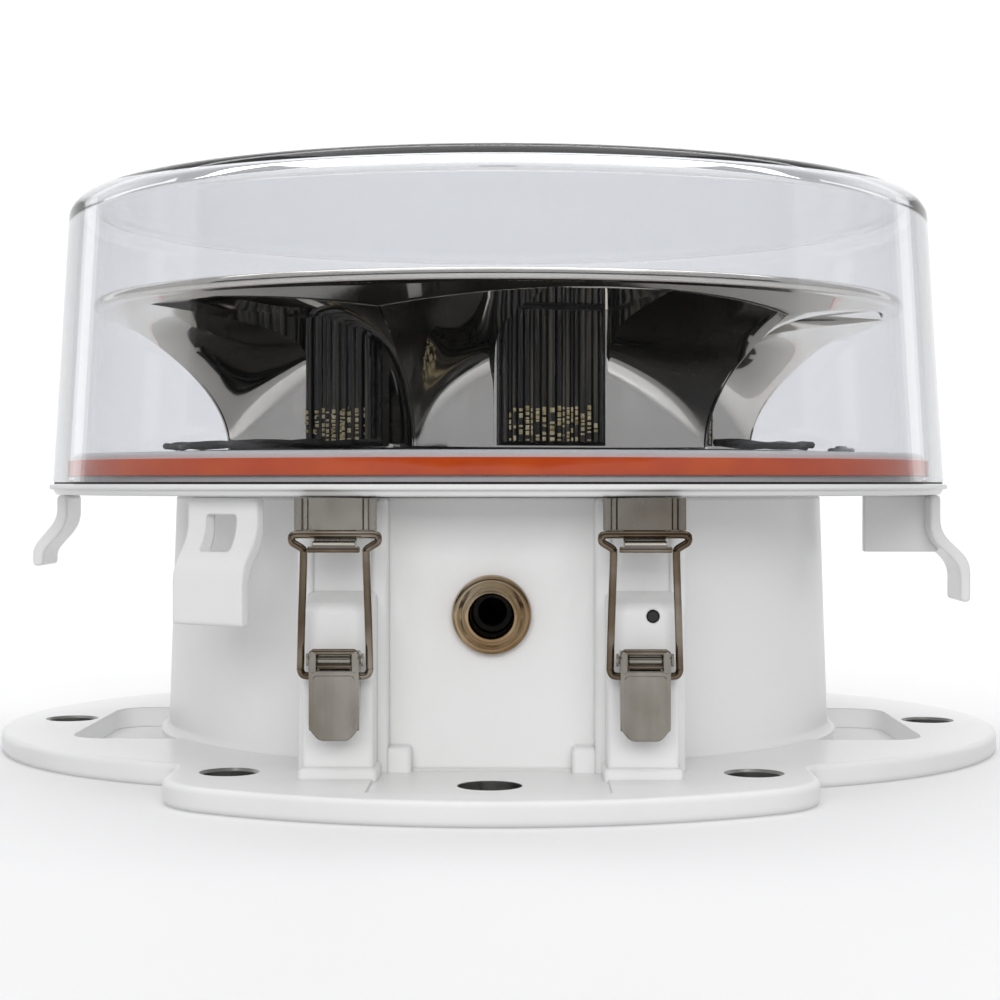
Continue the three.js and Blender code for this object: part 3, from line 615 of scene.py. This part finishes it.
def bolting_flange():
    """The flange with its side windows and the shallow machined seats at front and back."""
    flange = prism("base_paint", flange_outline(), 0, FLANGE_THICK, PAINT, bevel=2.2, segments=4, angle=70)
    near, far, front, back = 100, 156, -62, 40
    windows = []
    for side in (-1, 1):
        outline = [(side * near, front), (side * far, front), (side * far, back), (side * near, back)]
        windows.append(prism("window", soften(outline, 15, 8), -3, 11, PAINT))
    combine(flange, windows, "DIFFERENCE")
    seat_y, seat_reach, seat_floor = 163, 25, 7.2
    seats = []
    for side in (-1, 1):
        y0, y1 = side * seat_y - seat_reach, side * seat_y + seat_reach
        seats.append(block("seat", -PANEL_HALF_WIDTH, PANEL_HALF_WIDTH, y0, y1, seat_floor, 14, PAINT, 0))
    return combine(flange, seats, "DIFFERENCE")


def base_cutters():
    """The cavity, the holes for cable, hinge pin and plug screw, the relief below and the bolt holes."""
    cavity = [(0, FLOOR), (115.5, FLOOR), (118.5, FLOOR + 3), (117, 97), (0, 97)]
    cutters = [
        lathe("cavity", cavity, PAINT, 224),
        rod("cable_hole", 9.9, -145, -100, PAINT, "y", 0, 0, GLAND_Z),
        rod("pin_hole", 3.3, -60, 60, PAINT, "x", 0, *HINGE_YZ),
        rod("plug_hole", 2.1, -165, -151, PAINT, "y", 51, 0, 59),
        lathe("relief", [(0, -3), (108, -3), (106, 2), (0, 2)], PAINT, 96),
    ]
    chamfer = 1.1
    for azimuth, radius in BOLTS:
        wide = radius + chamfer
        profile = [(0, -3), (radius, -3), (radius, 7.1), (wide, 8.2), (wide, 20), (0, 20)]
        cutters.append(aim(lathe("bolt_hole", profile, BORE_METAL_AND_SHADE, 64), "z", *around(BOLT_CIRCLE, azimuth), 0))
    return cutters


def base_casting():
    flange = bolting_flange()
    solids = [base_shell()]
    solids.append(block("panel", -PANEL_HALF_WIDTH, PANEL_HALF_WIDTH, -135.2, -112, 4, 96.15, PAINT, 0.6))
    for _, centre in LATCHES:
        solids += latch_boss(centre)
    gusset_x, gusset_half = 30, 4
    for side in (-1, 1):
        x0, x1 = side * gusset_x - gusset_half, side * gusset_x + gusset_half
        solids.append(block("gusset", x0, x1, -142.5, -130, 4, 15.5, PAINT, 1.4))
    solids += hinge_lugs()
    combine(flange, solids, "UNION")
    combine(flange, base_cutters(), "DIFFERENCE")
    return settle(flange, "base", "base_casting")


# ---------------------------------------------------------------- cable gland
def cable_gland():
    """A turned body and its domed nut: sections of (radius, y), with the bore through both."""
    bore, thread, flat, root = 6.9, 9.6, -135.5, -104
    body = [
        (bore, flat - 4.5), (11.6, flat - 4.5), (12.6, flat - 3.9), (13, flat - 2.8), (13, flat - 1),
        (12.4, flat), (thread, flat), (thread, root), (bore, root),
    ]
    nut = [
        (bore, flat - 8.6), (7.5, flat - 9.5), (8.4, flat - 9.4), (9.2, flat - 8.6), (9.6, flat - 7.8),
        (10.8, flat - 7.3), (11.4, flat - 6.4), (11.4, flat - 5.2), (11, flat - 4.8), (bore, flat - 4.8),
    ]
    for name, section in (("gland_body", body), ("gland_nut", nut)):
        turned = lathe(f"{name}_turned", section, NICKEL, 96)
        settle(aim(turned, "y", 0, 0, GLAND_Z), "base", name)


# ---------------------------------------------------------------- latches
PIVOT_Y = -167.5
LEVER_PIVOT_Z = 46
BAIL_PIVOT_Z = 41


def latch_lever(name, centre):
    """Pressed lever: a dished face with rolled side walls that curl over the pin at the top."""
    half, front, tip = 7.75, -172.2, 21.3
    face = soften([(-half, 43), (-half, 25), (-4.6, tip), (4.6, tip), (half, 25), (half, 43)], 1.6)
    crown = soften([(-5.4, 21.9), (5.4, 21.9), (6.4, 26), (6.4, 41.5), (-6.4, 41.5), (-6.4, 26)], 1.4)
    wall = soften([
        (-171.5, 25), (-170.2, 24), (-163.9, 37), (-163.9, 47.6),
        (-165.5, 49), (-170.6, 49), (front, 47.4), (front, 30),
    ], 1.4)
    lever = prism("face", face, front, -171.0, STAINLESS, "xz", 0.35)
    parts = [prism("crown", crown, -172.35, -171.9, STAINLESS, "xz", 0.2)]
    for side in (-1, 1):
        parts.append(prism("wall", wall, *sorted((side * half, side * 6.5)), STAINLESS, "yz", 0.3))
    for side in (-1, 1):
        parts.append(rod("curl", 1.3, 41.6, 49.3, STAINLESS, "z", side * 6.5, -171.2, 0, 24, 0.9))
    parts.append(rod("bridge", 1.0, -6.8, 6.8, WIRE, "x", 0, -171.3, 48.7, 24))
    parts.append(rod("roller", 1.35, -5.2, 5.2, STAINLESS, "x", 0, -170.2, 46.2, 24))
    parts.append(rod("spindle", 0.8, -6.6, 6.6, WIRE, "x", 0, -170.2, 44.2, 24))
    combine(lever, parts, "UNION")
    holes = []
    for z in (LEVER_PIVOT_Z, BAIL_PIVOT_Z):
        holes.append(rod("hole", 1.5, -10, 10, STAINLESS, "x", 0, PIVOT_Y, z, 24))
    combine(lever, holes, "DIFFERENCE")
    lever.name = f"{name}_lever_pressed"
    aim(lever, "z", centre, 0, 0)
    return settle(lever, f"{name}_lever", f"{name}_latch_lever")


def latch_bail(name, centre):
    """One bent wire: feet turned into the lever, straight arms, and a stirrup-shaped top."""
    foot_y, top_y, top_z = PIVOT_Y, -168.3, 84.8
    foot = [
        (6.6, foot_y, BAIL_PIVOT_Z), (8.6, foot_y, BAIL_PIVOT_Z), (10.0, foot_y, 41.4),
        (10.7, foot_y, 42.8), (10.7, foot_y, 45),
    ]
    arm = [(10.35, -167.8, 58), (9.95, -168.0, 70), (9.7, top_y, 78.6), (9.9, top_y, 80.2)]
    corner = [(11.4, top_y, 81.3), (13.1, top_y, 82.4), (13.4, top_y, 83.8), (12.4, top_y, 84.75)]
    half = foot + arm + corner
    top = [(x, top_y, top_z) for x in (6, 0, -6)]
    points = half + top + [(-x, y, z) for x, y, z in half[::-1]]
    bail = tube(f"{name}_bail_wire", points, 1.2, WIRE, 16, 6)
    aim(bail, "z", centre, 0, 0)
    return settle(bail, f"{name}_bail", f"{name}_latch_bail")


def latch_keeper(name, centre):
    """Pressed keeper under the tray: rolled side edges and a curled hook that holds the bail."""
    half = [
        (8.4, -166.5), (8.8, -165.5), (10.1, -165.5), (10.5, -166.9),
        (11.2, -167.4), (12.2, -167.4), (12.85, -166.8), (12.85, -164.8),
    ]
    section = [(-x, y) for x, y in half[::-1]] + half
    keeper = prism("back", section, 86.0, UNDER_TRAY, STAINLESS, bevel=0.15, segments=2, angle=60)
    leaf = block("leaf", -12, 12, -165.4, -144, 94.7, UNDER_TRAY, STAINLESS, 0.3)
    hook = [
        (-164.9, 88), (-166.3, 88), (-166.3, 82.9), (-170.6, 82.9), (-172.2, 82.6), (-173.4, 81.4),
        (-173.5, 79.8), (-172.7, 79.7), (-172.2, 81.0), (-171, 81.6), (-166.4, 81.5), (-164.9, 82.6),
    ]
    tongue = prism("tongue", soften(hook, 0.6, 2), -6.6, 6.6, STAINLESS, "yz", 0.2)
    curl = rod("curl", 0.95, -8.1, 8.1, WIRE, "x", 0, -172.6, 80.3, 24)
    combine(keeper, [leaf, tongue, curl], "UNION")
    combine(keeper, [rod("hole", 2.6, 90, 99, STAINLESS, "z", 0, -152, 0, 24)], "DIFFERENCE")
    keeper.name = f"{name}_keeper_pressed"
    aim(keeper, "z", centre, 0, 0)
    return settle(keeper, "head", f"{name}_keeper")


# ---------------------------------------------------------------- head tray, dome, gasket, legs
def head_tray():
    """A dish turned up in the middle, with a stepped lip and the raised deck inside the dome."""
    hub, deck_edge = 9, 163.5
    underside = [(hub, 105), (112.5, 105), (114, 103.5), (114, 97), (114.5, 96.5), (169.4, 96.5)]
    lip = [(170.0, 96.8), (170.9, 98.4), (172.0, 98.6), (172.3, 98.9), (172.3, 100.0), (171.9, 100.4)]
    deck = [(deck_edge, 100.4), (deck_edge, 110.2), (deck_edge - 0.9, 111.2), (hub, 111.2)]
    settle(lathe("head_tray_cast", underside + lip + deck, PAINT, 256, 30), "head", "head_tray")


def ring_section(inner, outer, low, high):
    return [(inner, low), (outer, low), (outer, high), (inner, high)]


def dome_gasket():
    profile = soften(ring_section(163.8, 165.55, 103.1, 108.8), 0.4, 3)
    settle(lathe("dome_gasket_ring", profile, SILICONE, 256), "head", "dome_gasket")


def dome_gap_shadow():
    """A thin dark ring between the dome's foot and the tray's rim: a painted shadow standing in for the shade
    in the gap there.
    """
    settle(lathe("dome_gap_shadow_ring", ring_section(164.5, 170.6, 100.5, 101.2), RUBBER, 256), "head")


def shoulder(radius, z, bend, share):
    """A point of a rounded corner about (radius, z): share 0 at its outside, 1 at its top."""
    angle = math.pi / 2 * share
    return radius + bend * math.cos(angle), z + bend * math.sin(angle)


def dome():
    """A slightly tapered drum with a rounded shoulder and a barely crowned top."""
    foot, top, ceiling = 101.3, 210, 205.5
    outer = [(171.0, foot), (171.0, 102.2), (170.6, 108), (168.2, 148), (165.45, 195)]
    outer += [shoulder(156.6, 199.2, 8.8, i / 8) for i in range(1, 9)]
    outer += [(150, 208.3), (120, 208.95), (80, 209.5), (40, 209.9), (0, top)]
    inner = [(0, ceiling), (40, 205.4), (80, 205.0), (120, 204.45), (148, 203.8)]
    inner += [shoulder(155.0, 197.8, 5.8, 1 - i / 8) for i in range(1, 9)]
    inner += [(163.7, 148), (166.1, 108), (166.5, foot)]
    settle(lathe("dome_clear_shell", outer + inner, CLEAR, 256, 50), "head", "dome")


def cranked_leg(name, azimuth, half, upper, lower, bend, bottom, extra=(), cut=()):
    """A cast leg hanging from the tray, its S-bend carrying it from radius upper out to lower."""
    thick = 4
    outline = [
        (-upper, UNDER_TRAY), (-upper - thick, UNDER_TRAY), (-upper - thick, bend + 6),
        (-lower - thick, bend - 5), (-lower - thick, bottom), (-lower, bottom),
        (-lower, bend - 7), (-upper, bend + 3.5),
    ]
    leg = prism(f"{name}_cast", soften(outline, 5, 5), -half, half, PAINT, "yz", 0.9)
    if extra:
        combine(leg, list(extra), "UNION")
    if cut:
        combine(leg, list(cut), "DIFFERENCE")
    return settle(turn_about_axis(leg, azimuth), "head", name)


def guide_legs():
    slot_half, slot_low, slot_high = 6.4, 78.5, 90.5
    corners = [(-slot_half, slot_low), (slot_half, slot_low), (slot_half, slot_high), (-slot_half, slot_high)]
    slot = prism("slot", soften(corners, 1.2), -180, -150, PAINT, "xz")
    cranked_leg("front_guide_leg", -33, 15, upper=158, lower=165.5, bend=78, bottom=54.6, cut=[slot])
    cranked_leg("left_guide_leg", -90, 12.5, upper=167.4, lower=176.8, bend=81, bottom=68.7)
    web = block("web", -1.9, 1.9, -172, -143, 74, UNDER_TRAY, PAINT, 0.8)
    cranked_leg("right_guide_leg", 90, 12.5, upper=167, lower=178.5, bend=76, bottom=55, extra=[web])


# ---------------------------------------------------------------- reflector
PETALS = 6
PETAL_PITCH = 360 / PETALS
PETAL_HALF = math.pi / PETALS
FIRST_PETAL = 15
THROAT = 77
PANEL_HALF = 21
HORN_FOOT, HORN_TOP, CUSP = 113.4, 163.6, 158.2
WALL_INSET = 0.35


def petal_azimuth(index):
    return FIRST_PETAL + PETAL_PITCH * (index - 1)


def trumpet(z):
    """Radius of the flared envelope at a height."""
    return 106 + 0.0165 * max(0.0, z - 112) ** 2


def arch(share):
    """Height of the horn's upper edge, from its middle (0) to the ridge (1)."""
    return HORN_TOP - (HORN_TOP - CUSP) * share ** 1.8


def wing_point(share, rise):
    """A point of the horn wall: share 0 at the light panel, 1 at the ridge; rise 0 foot, 1 rim."""
    ridge_gap = 0.25
    foot_reach = trumpet(HORN_FOOT)
    foot_x = PANEL_HALF + (foot_reach * math.sin(PETAL_HALF) - ridge_gap - PANEL_HALF) * share
    foot_u = THROAT + (foot_reach * math.cos(PETAL_HALF) - THROAT) * (0.35 * share + 0.65 * share ** 2)
    edge_share = 0.27 + 0.73 * share
    angle = PETAL_HALF * edge_share
    top = arch(edge_share)
    reach = trumpet(top) - WALL_INSET
    edge_x = reach * math.sin(angle) - ridge_gap * share
    edge_u = reach * math.cos(angle)
    steepness = 2 + 8 * (1 - share) ** 1.2
    flare = rise ** steepness
    z = HORN_FOOT + (top - HORN_FOOT) * rise
    return foot_x + (edge_x - foot_x) * flare, foot_u + (edge_u - foot_u) * flare, z


def throat_point(side, rise):
    """The strip behind the light panel: straight up, then out across the ceiling to the rim."""
    bend = 0.93
    x = side * (PANEL_HALF - 0.5)
    top = arch(0.2)
    out = max(0.0, (rise - bend) / (1 - bend))
    edge_u = math.sqrt((trumpet(top) - WALL_INSET) ** 2 - x ** 2)
    z = HORN_FOOT + (top - HORN_FOOT) * min(1.0, rise / bend)
    return x, THROAT + (edge_u - THROAT) * out, z


def horn_rows():
    """Rows of the horn's inner surface, from the foot up to the rim."""
    wing, rise_steps = 16, 40
    rows = []
    for j in range(rise_steps + 1):
        rise = j / rise_steps
        row = []
        for i in range(wing, -1, -1):
            x, u, z = wing_point(i / wing, rise)
            row.append((-x, -u, z))
        for side in (-1, 1):
            x, u, z = throat_point(side, rise)
            row.append((x, -u, z))
        for i in range(wing + 1):
            x, u, z = wing_point(i / wing, rise)
            row.append((x, -u, z))
        rows.append(row)
    return rows


def reflector_petal(index):
    """One horn: its inner surface, turned to face outwards and thickened behind."""
    wall = 1.1
    rows = horn_rows()
    columns = len(rows[0])
    vertices = [v for row in rows for v in row]
    faces = []
    for j in range(len(rows) - 1):
        for i in range(columns - 1):
            a = j * columns + i
            faces.append((a, a + 1, a + columns + 1, a + columns))
    thing = mesh_object(f"horn_{index}", vertices, faces, CHROME, 50)
    body = bmesh.new()
    body.from_mesh(thing.data)
    bmesh.ops.remove_doubles(body, verts=body.verts, dist=1e-6)
    bmesh.ops.dissolve_degenerate(body, edges=body.edges, dist=1e-6)
    body.faces.ensure_lookup_table()
    body.normal_update()
    low = min(body.faces, key=lambda f: f.calc_center_median().z + abs(f.calc_center_median().x))
    if low.normal.y > 0:
        bmesh.ops.reverse_faces(body, faces=body.faces)
    body.to_mesh(thing.data)
    body.free()
    thick = thing.modifiers.new("wall", "SOLIDIFY")
    thick.thickness = wall * MM
    thick.offset = -1
    apply_modifiers(thing, 50)
    turn_about_axis(thing, petal_azimuth(index))
    return settle(thing, "head", f"reflector_petal_{index}")


def rim_section(angle):
    """The rim's section at an angle: the flare arched over each horn, the lip, the closing plate."""
    half_pitch = PETAL_PITCH / 2
    share = abs((math.degrees(angle) - FIRST_PETAL + half_pitch) % PETAL_PITCH - half_pitch) / half_pitch
    low = arch(share)
    flare_top, lip, lip_radius, lip_z = 164.9, 2.3, 153.9, 166.9
    points = []
    for i in range(9):
        z = low + (flare_top - low) * i / 8
        points.append((trumpet(z), z))
    for i in range(9):
        turn = math.pi * (i / 8 - 0.35)
        points.append((lip_radius + lip * math.cos(turn), lip_z + lip * math.sin(turn)))
    bolt_hole, plate_low, plate_high = 4.3, 165.2, 166.4
    points += [(151.6, 167.6), (150.6, 166.9), (149, 166.5), (60, plate_high), (bolt_hole, plate_high)]
    points += [(bolt_hole, plate_low), (60, plate_low)]
    points += [(trumpet(low) - 2.2, 165.0), (trumpet(low) - 1.1, low + 0.1)]
    return points


def reflector_rim():
    settle(swept_ring("reflector_rim_shell", rim_section, CHROME, 240, 40), "head", "reflector_cap")


def light_panel(index):
    """Smoked upright ribs of uneven width over a black board, gilt chips showing low between them."""
    dice = random.Random(index)
    board, half, low, high, chip_top = 79.6, 18.6, 115, 162, 127
    pieces = [block("rib_back", -half, half, -board - 0.9, -board, low, high, PLASTIC, 0.2)]
    chips = []
    x = -half
    while x < half - 1.2:
        width = min(dice.choice((1.3, 1.8, 2.4, 3.1)), half - x)
        middle = x + width / 2
        behind = -board - 0.6 - width / 2
        pieces.append(rod("rib", width / 2 - 0.08, low, high, LENS, "z", middle, behind, 0, 16, 0.15))
        front = -board - 0.75 - width
        z = low + 0.6
        while z < chip_top and abs(middle) < half - 2:
            tall = dice.uniform(0.5, 1.8)
            if dice.random() < 0.75:
                x0, x1 = middle - width * 0.3, middle + width * 0.22
                chips.append(block("chip", x0, x1, front, front + 0.5, z, z + tall, GOLD, 0.08))
            z += tall + dice.uniform(0.15, 0.9)
        x += width
    panel = gather(f"light_panel_{index}", pieces)
    settle(turn_about_axis(panel, petal_azimuth(index)), "head", f"led_lens_{index}")
    gilt = gather(f"light_chips_{index}", chips)
    settle(turn_about_axis(gilt, petal_azimuth(index)), "head")


def base_ring():
    """The flat black ring under the horns, its edge notched for the leads."""
    inner, outer, low, high = 68, 130, 111.5, 112.3
    section = [(inner, low), (outer - 0.4, low), (outer, 111.8), (outer - 0.2, high), (inner, high)]
    ring = lathe("led_base_ring_plate", section, PLASTIC, 192)
    outline = [(-3, -127), (3, -127), (4, -133), (-4, -133)]
    notches = []
    for k in range(PETALS):
        notch = prism("notch", outline, 110, 114, PLASTIC)
        notches.append(turn_about_axis(notch, FIRST_PETAL + PETAL_PITCH * (k + 0.5)))
    combine(ring, notches, "DIFFERENCE")
    settle(ring, "head", "led_base_ring")


# ---------------------------------------------------------------- wiring on the tray
def lead(radius, start, end, wave, lift, phase, turns=14):
    """A lead's route round the tray between two azimuths, weaving by wave and a little up and down."""
    points = []
    for i in range(turns + 1):
        azimuth = start + (end - start) * i / turns
        x, y = around(radius + wave * math.sin(i * 1.3 + phase), azimuth)
        points.append((x, y, lift + 0.5 * math.sin(i * 0.9 + phase)))
    return points


def ground_terminal():
    """A ring terminal and the screw that holds it."""
    x, y = around(136, 68)
    eye_radius = 4
    turns = [TAU * i / 10 for i in range(10)]
    ring = [(x + eye_radius * math.cos(t), y + eye_radius * math.sin(t), 112.6) for t in turns]
    eye = tube("eye", ring, 0.95, ZINC, 10, 3, True)
    screw = rod("screw", 2.2, 111.6, 114.2, ZINC, "z", x, y, 0, 24)
    settle(gather("ground_terminal_eye", [eye, screw]), "head", "ground_terminal")


def wiring():
    left = [
        tube("strand", lead(125, -76, -22, 2.0, 114.2, 0.0), 1.3, RUBBER, 10, 4),
        tube("strand", lead(128, -74, -26, 1.6, 114.1, 1.9), 1.2, RUBBER, 10, 4),
        tube("strand", lead(121.5, -70, -18, 1.5, 114.4, 0.8), 1.1, PLASTIC, 10, 4),
    ]
    settle(gather("harness_left_strands", left), "head", "harness_left")
    right = [
        tube("strand", lead(127, 36, 66, 1.6, 114.2, 0.4, 9), 1.3, RUBBER, 10, 4),
        tube("strand", lead(124, 38, 64, 1.4, 114.1, 2.2, 9), 1.2, PLASTIC, 10, 4),
    ]
    settle(gather("harness_right_strands", right), "head", "harness_right")
    ground_terminal()


# ---------------------------------------------------------------- CAD nodes that stay
def finish_kept_nodes():
    slots = {entry["node"]: entry["material_slot"] for entry in frame["record"]["subparts"]}
    for name, thing in frame["nodes"].items():
        thing.data.materials.clear()
        thing.data.materials.append(MATERIAL_OF_SLOT[slots[name]])


# ---------------------------------------------------------------- studio
def floor_sweep():
    """A pale floor that curves up into a backdrop behind the object."""
    pale, nodes, links, shader = new_material("pale_floor")
    tone = noise(nodes, links, scale=3, detail=3)
    colour = ramp(nodes, links, tone.outputs["Fac"], [(0.3, (0.90, 0.90, 0.90)), (0.7, (0.93, 0.93, 0.93))])
    links.new(colour, shader.inputs["Base Color"])
    shader.inputs["Roughness"].default_value = 0.6
    half, bend_y, bend, top = 4000, 1400, 900, 3500
    sweep = [(-half, 0), (bend_y, 0)]
    for i in range(1, 13):
        angle = math.pi / 2 * i / 12
        sweep.append((bend_y + bend * math.sin(angle), bend - bend * math.cos(angle)))
    sweep.append((bend_y + bend, top))
    vertices = []
    for y, z in sweep:
        vertices += [(-half, y, z), (half, y, z)]
    faces = [(2 * i, 2 * i + 1, 2 * i + 3, 2 * i + 2) for i in range(len(sweep) - 1)]
    floor = mesh_object("studio_sweep", vertices, faces, pale, 60)
    floor.visible_diffuse = False


def black_cards():
    """An arc of black cards in front, seen only in the mirrors and the dome."""
    black, _, _, shader = new_material("black_card")
    shader.inputs["Base Color"].default_value = (0.01, 0.01, 0.01, 1)
    distance, half, low, high, step = 1500, 300, 280, 680, 22
    for k in range(-3, 4):
        card = block("black_card", -half, half, -distance - 4, -distance, low, high, black, 0)
        turn_about_axis(card, k * step)
        card.visible_camera = False
        card.visible_shadow = False
        card.visible_diffuse = False


def area_light(name, size, power, place, target=(0, 0, 0.1), glossy=True):
    """A soft box in metres and watts; without glossy it is left out of mirrors and glass."""
    lamp = bpy.data.lights.new(name, "AREA")
    lamp.shape = "RECTANGLE"
    lamp.size, lamp.size_y = size
    lamp.energy = power
    thing = bpy.data.objects.new(name, lamp)
    thing.location = place
    thing.visible_glossy = glossy
    thing.visible_transmission = glossy
    thing.rotation_euler = (Vector(target) - Vector(place)).to_track_quat("-Z", "Y").to_euler()
    bpy.context.scene.collection.objects.link(thing)


def studio():
    scene = bpy.context.scene
    scene.view_settings.view_transform = "Standard"
    world = bpy.data.worlds.new("studio")
    scene.world = world
    world.use_nodes = True
    background = world.node_tree.nodes["Background"]
    background.inputs["Color"].default_value = (0.98, 0.98, 1.0, 1)
    background.inputs["Strength"].default_value = 0.52
    area_light("front_box", (1.5, 0.7), 16, (0, -1.9, 0.75), glossy=False)
    area_light("top_box", (1.4, 1.2), 7, (0, 0.0, 1.5))
    area_light("left_box", (0.25, 1.4), 0.8, (-1.2, 0.9, 0.6))
    area_light("right_box", (0.25, 1.4), 0.7, (1.2, 0.9, 0.6))
    area_light("back_wall", (2.6, 1.2), 30, (0, 1.0, 1.9), (0, 2.3, 0.5))
    floor_sweep()
    black_cards()


def camera():
    """The photo's view: level, straight at the front, from a little under 0.8 m."""
    view = bpy.data.cameras.new("camera")
    view.sensor_width = 36
    view.lens = 72
    view.shift_x = 0.0017
    view.shift_y = -0.016
    view.clip_start = 0.02
    thing = bpy.data.objects.new("camera", view)
    distance, azimuth, height = 0.787, math.radians(0.9), 0.1005
    thing.location = (distance * math.sin(azimuth), -distance * math.cos(azimuth), height)
    thing.rotation_euler = (math.pi / 2, 0, azimuth)
    bpy.context.scene.collection.objects.link(thing)
    bpy.context.scene.camera = thing


studio()
camera()
finish_kept_nodes()
base_casting()
cable_gland()
for latch_name, latch_x in LATCHES:
    latch_lever(latch_name, latch_x)
    latch_bail(latch_name, latch_x)
    latch_keeper(latch_name, latch_x)
head_tray()
dome_gasket()
dome_gap_shadow()
dome()
guide_legs()
for petal_index in range(1, PETALS + 1):
    reflector_petal(petal_index)
    light_panel(petal_index)
reflector_rim()
base_ring()
wiring()
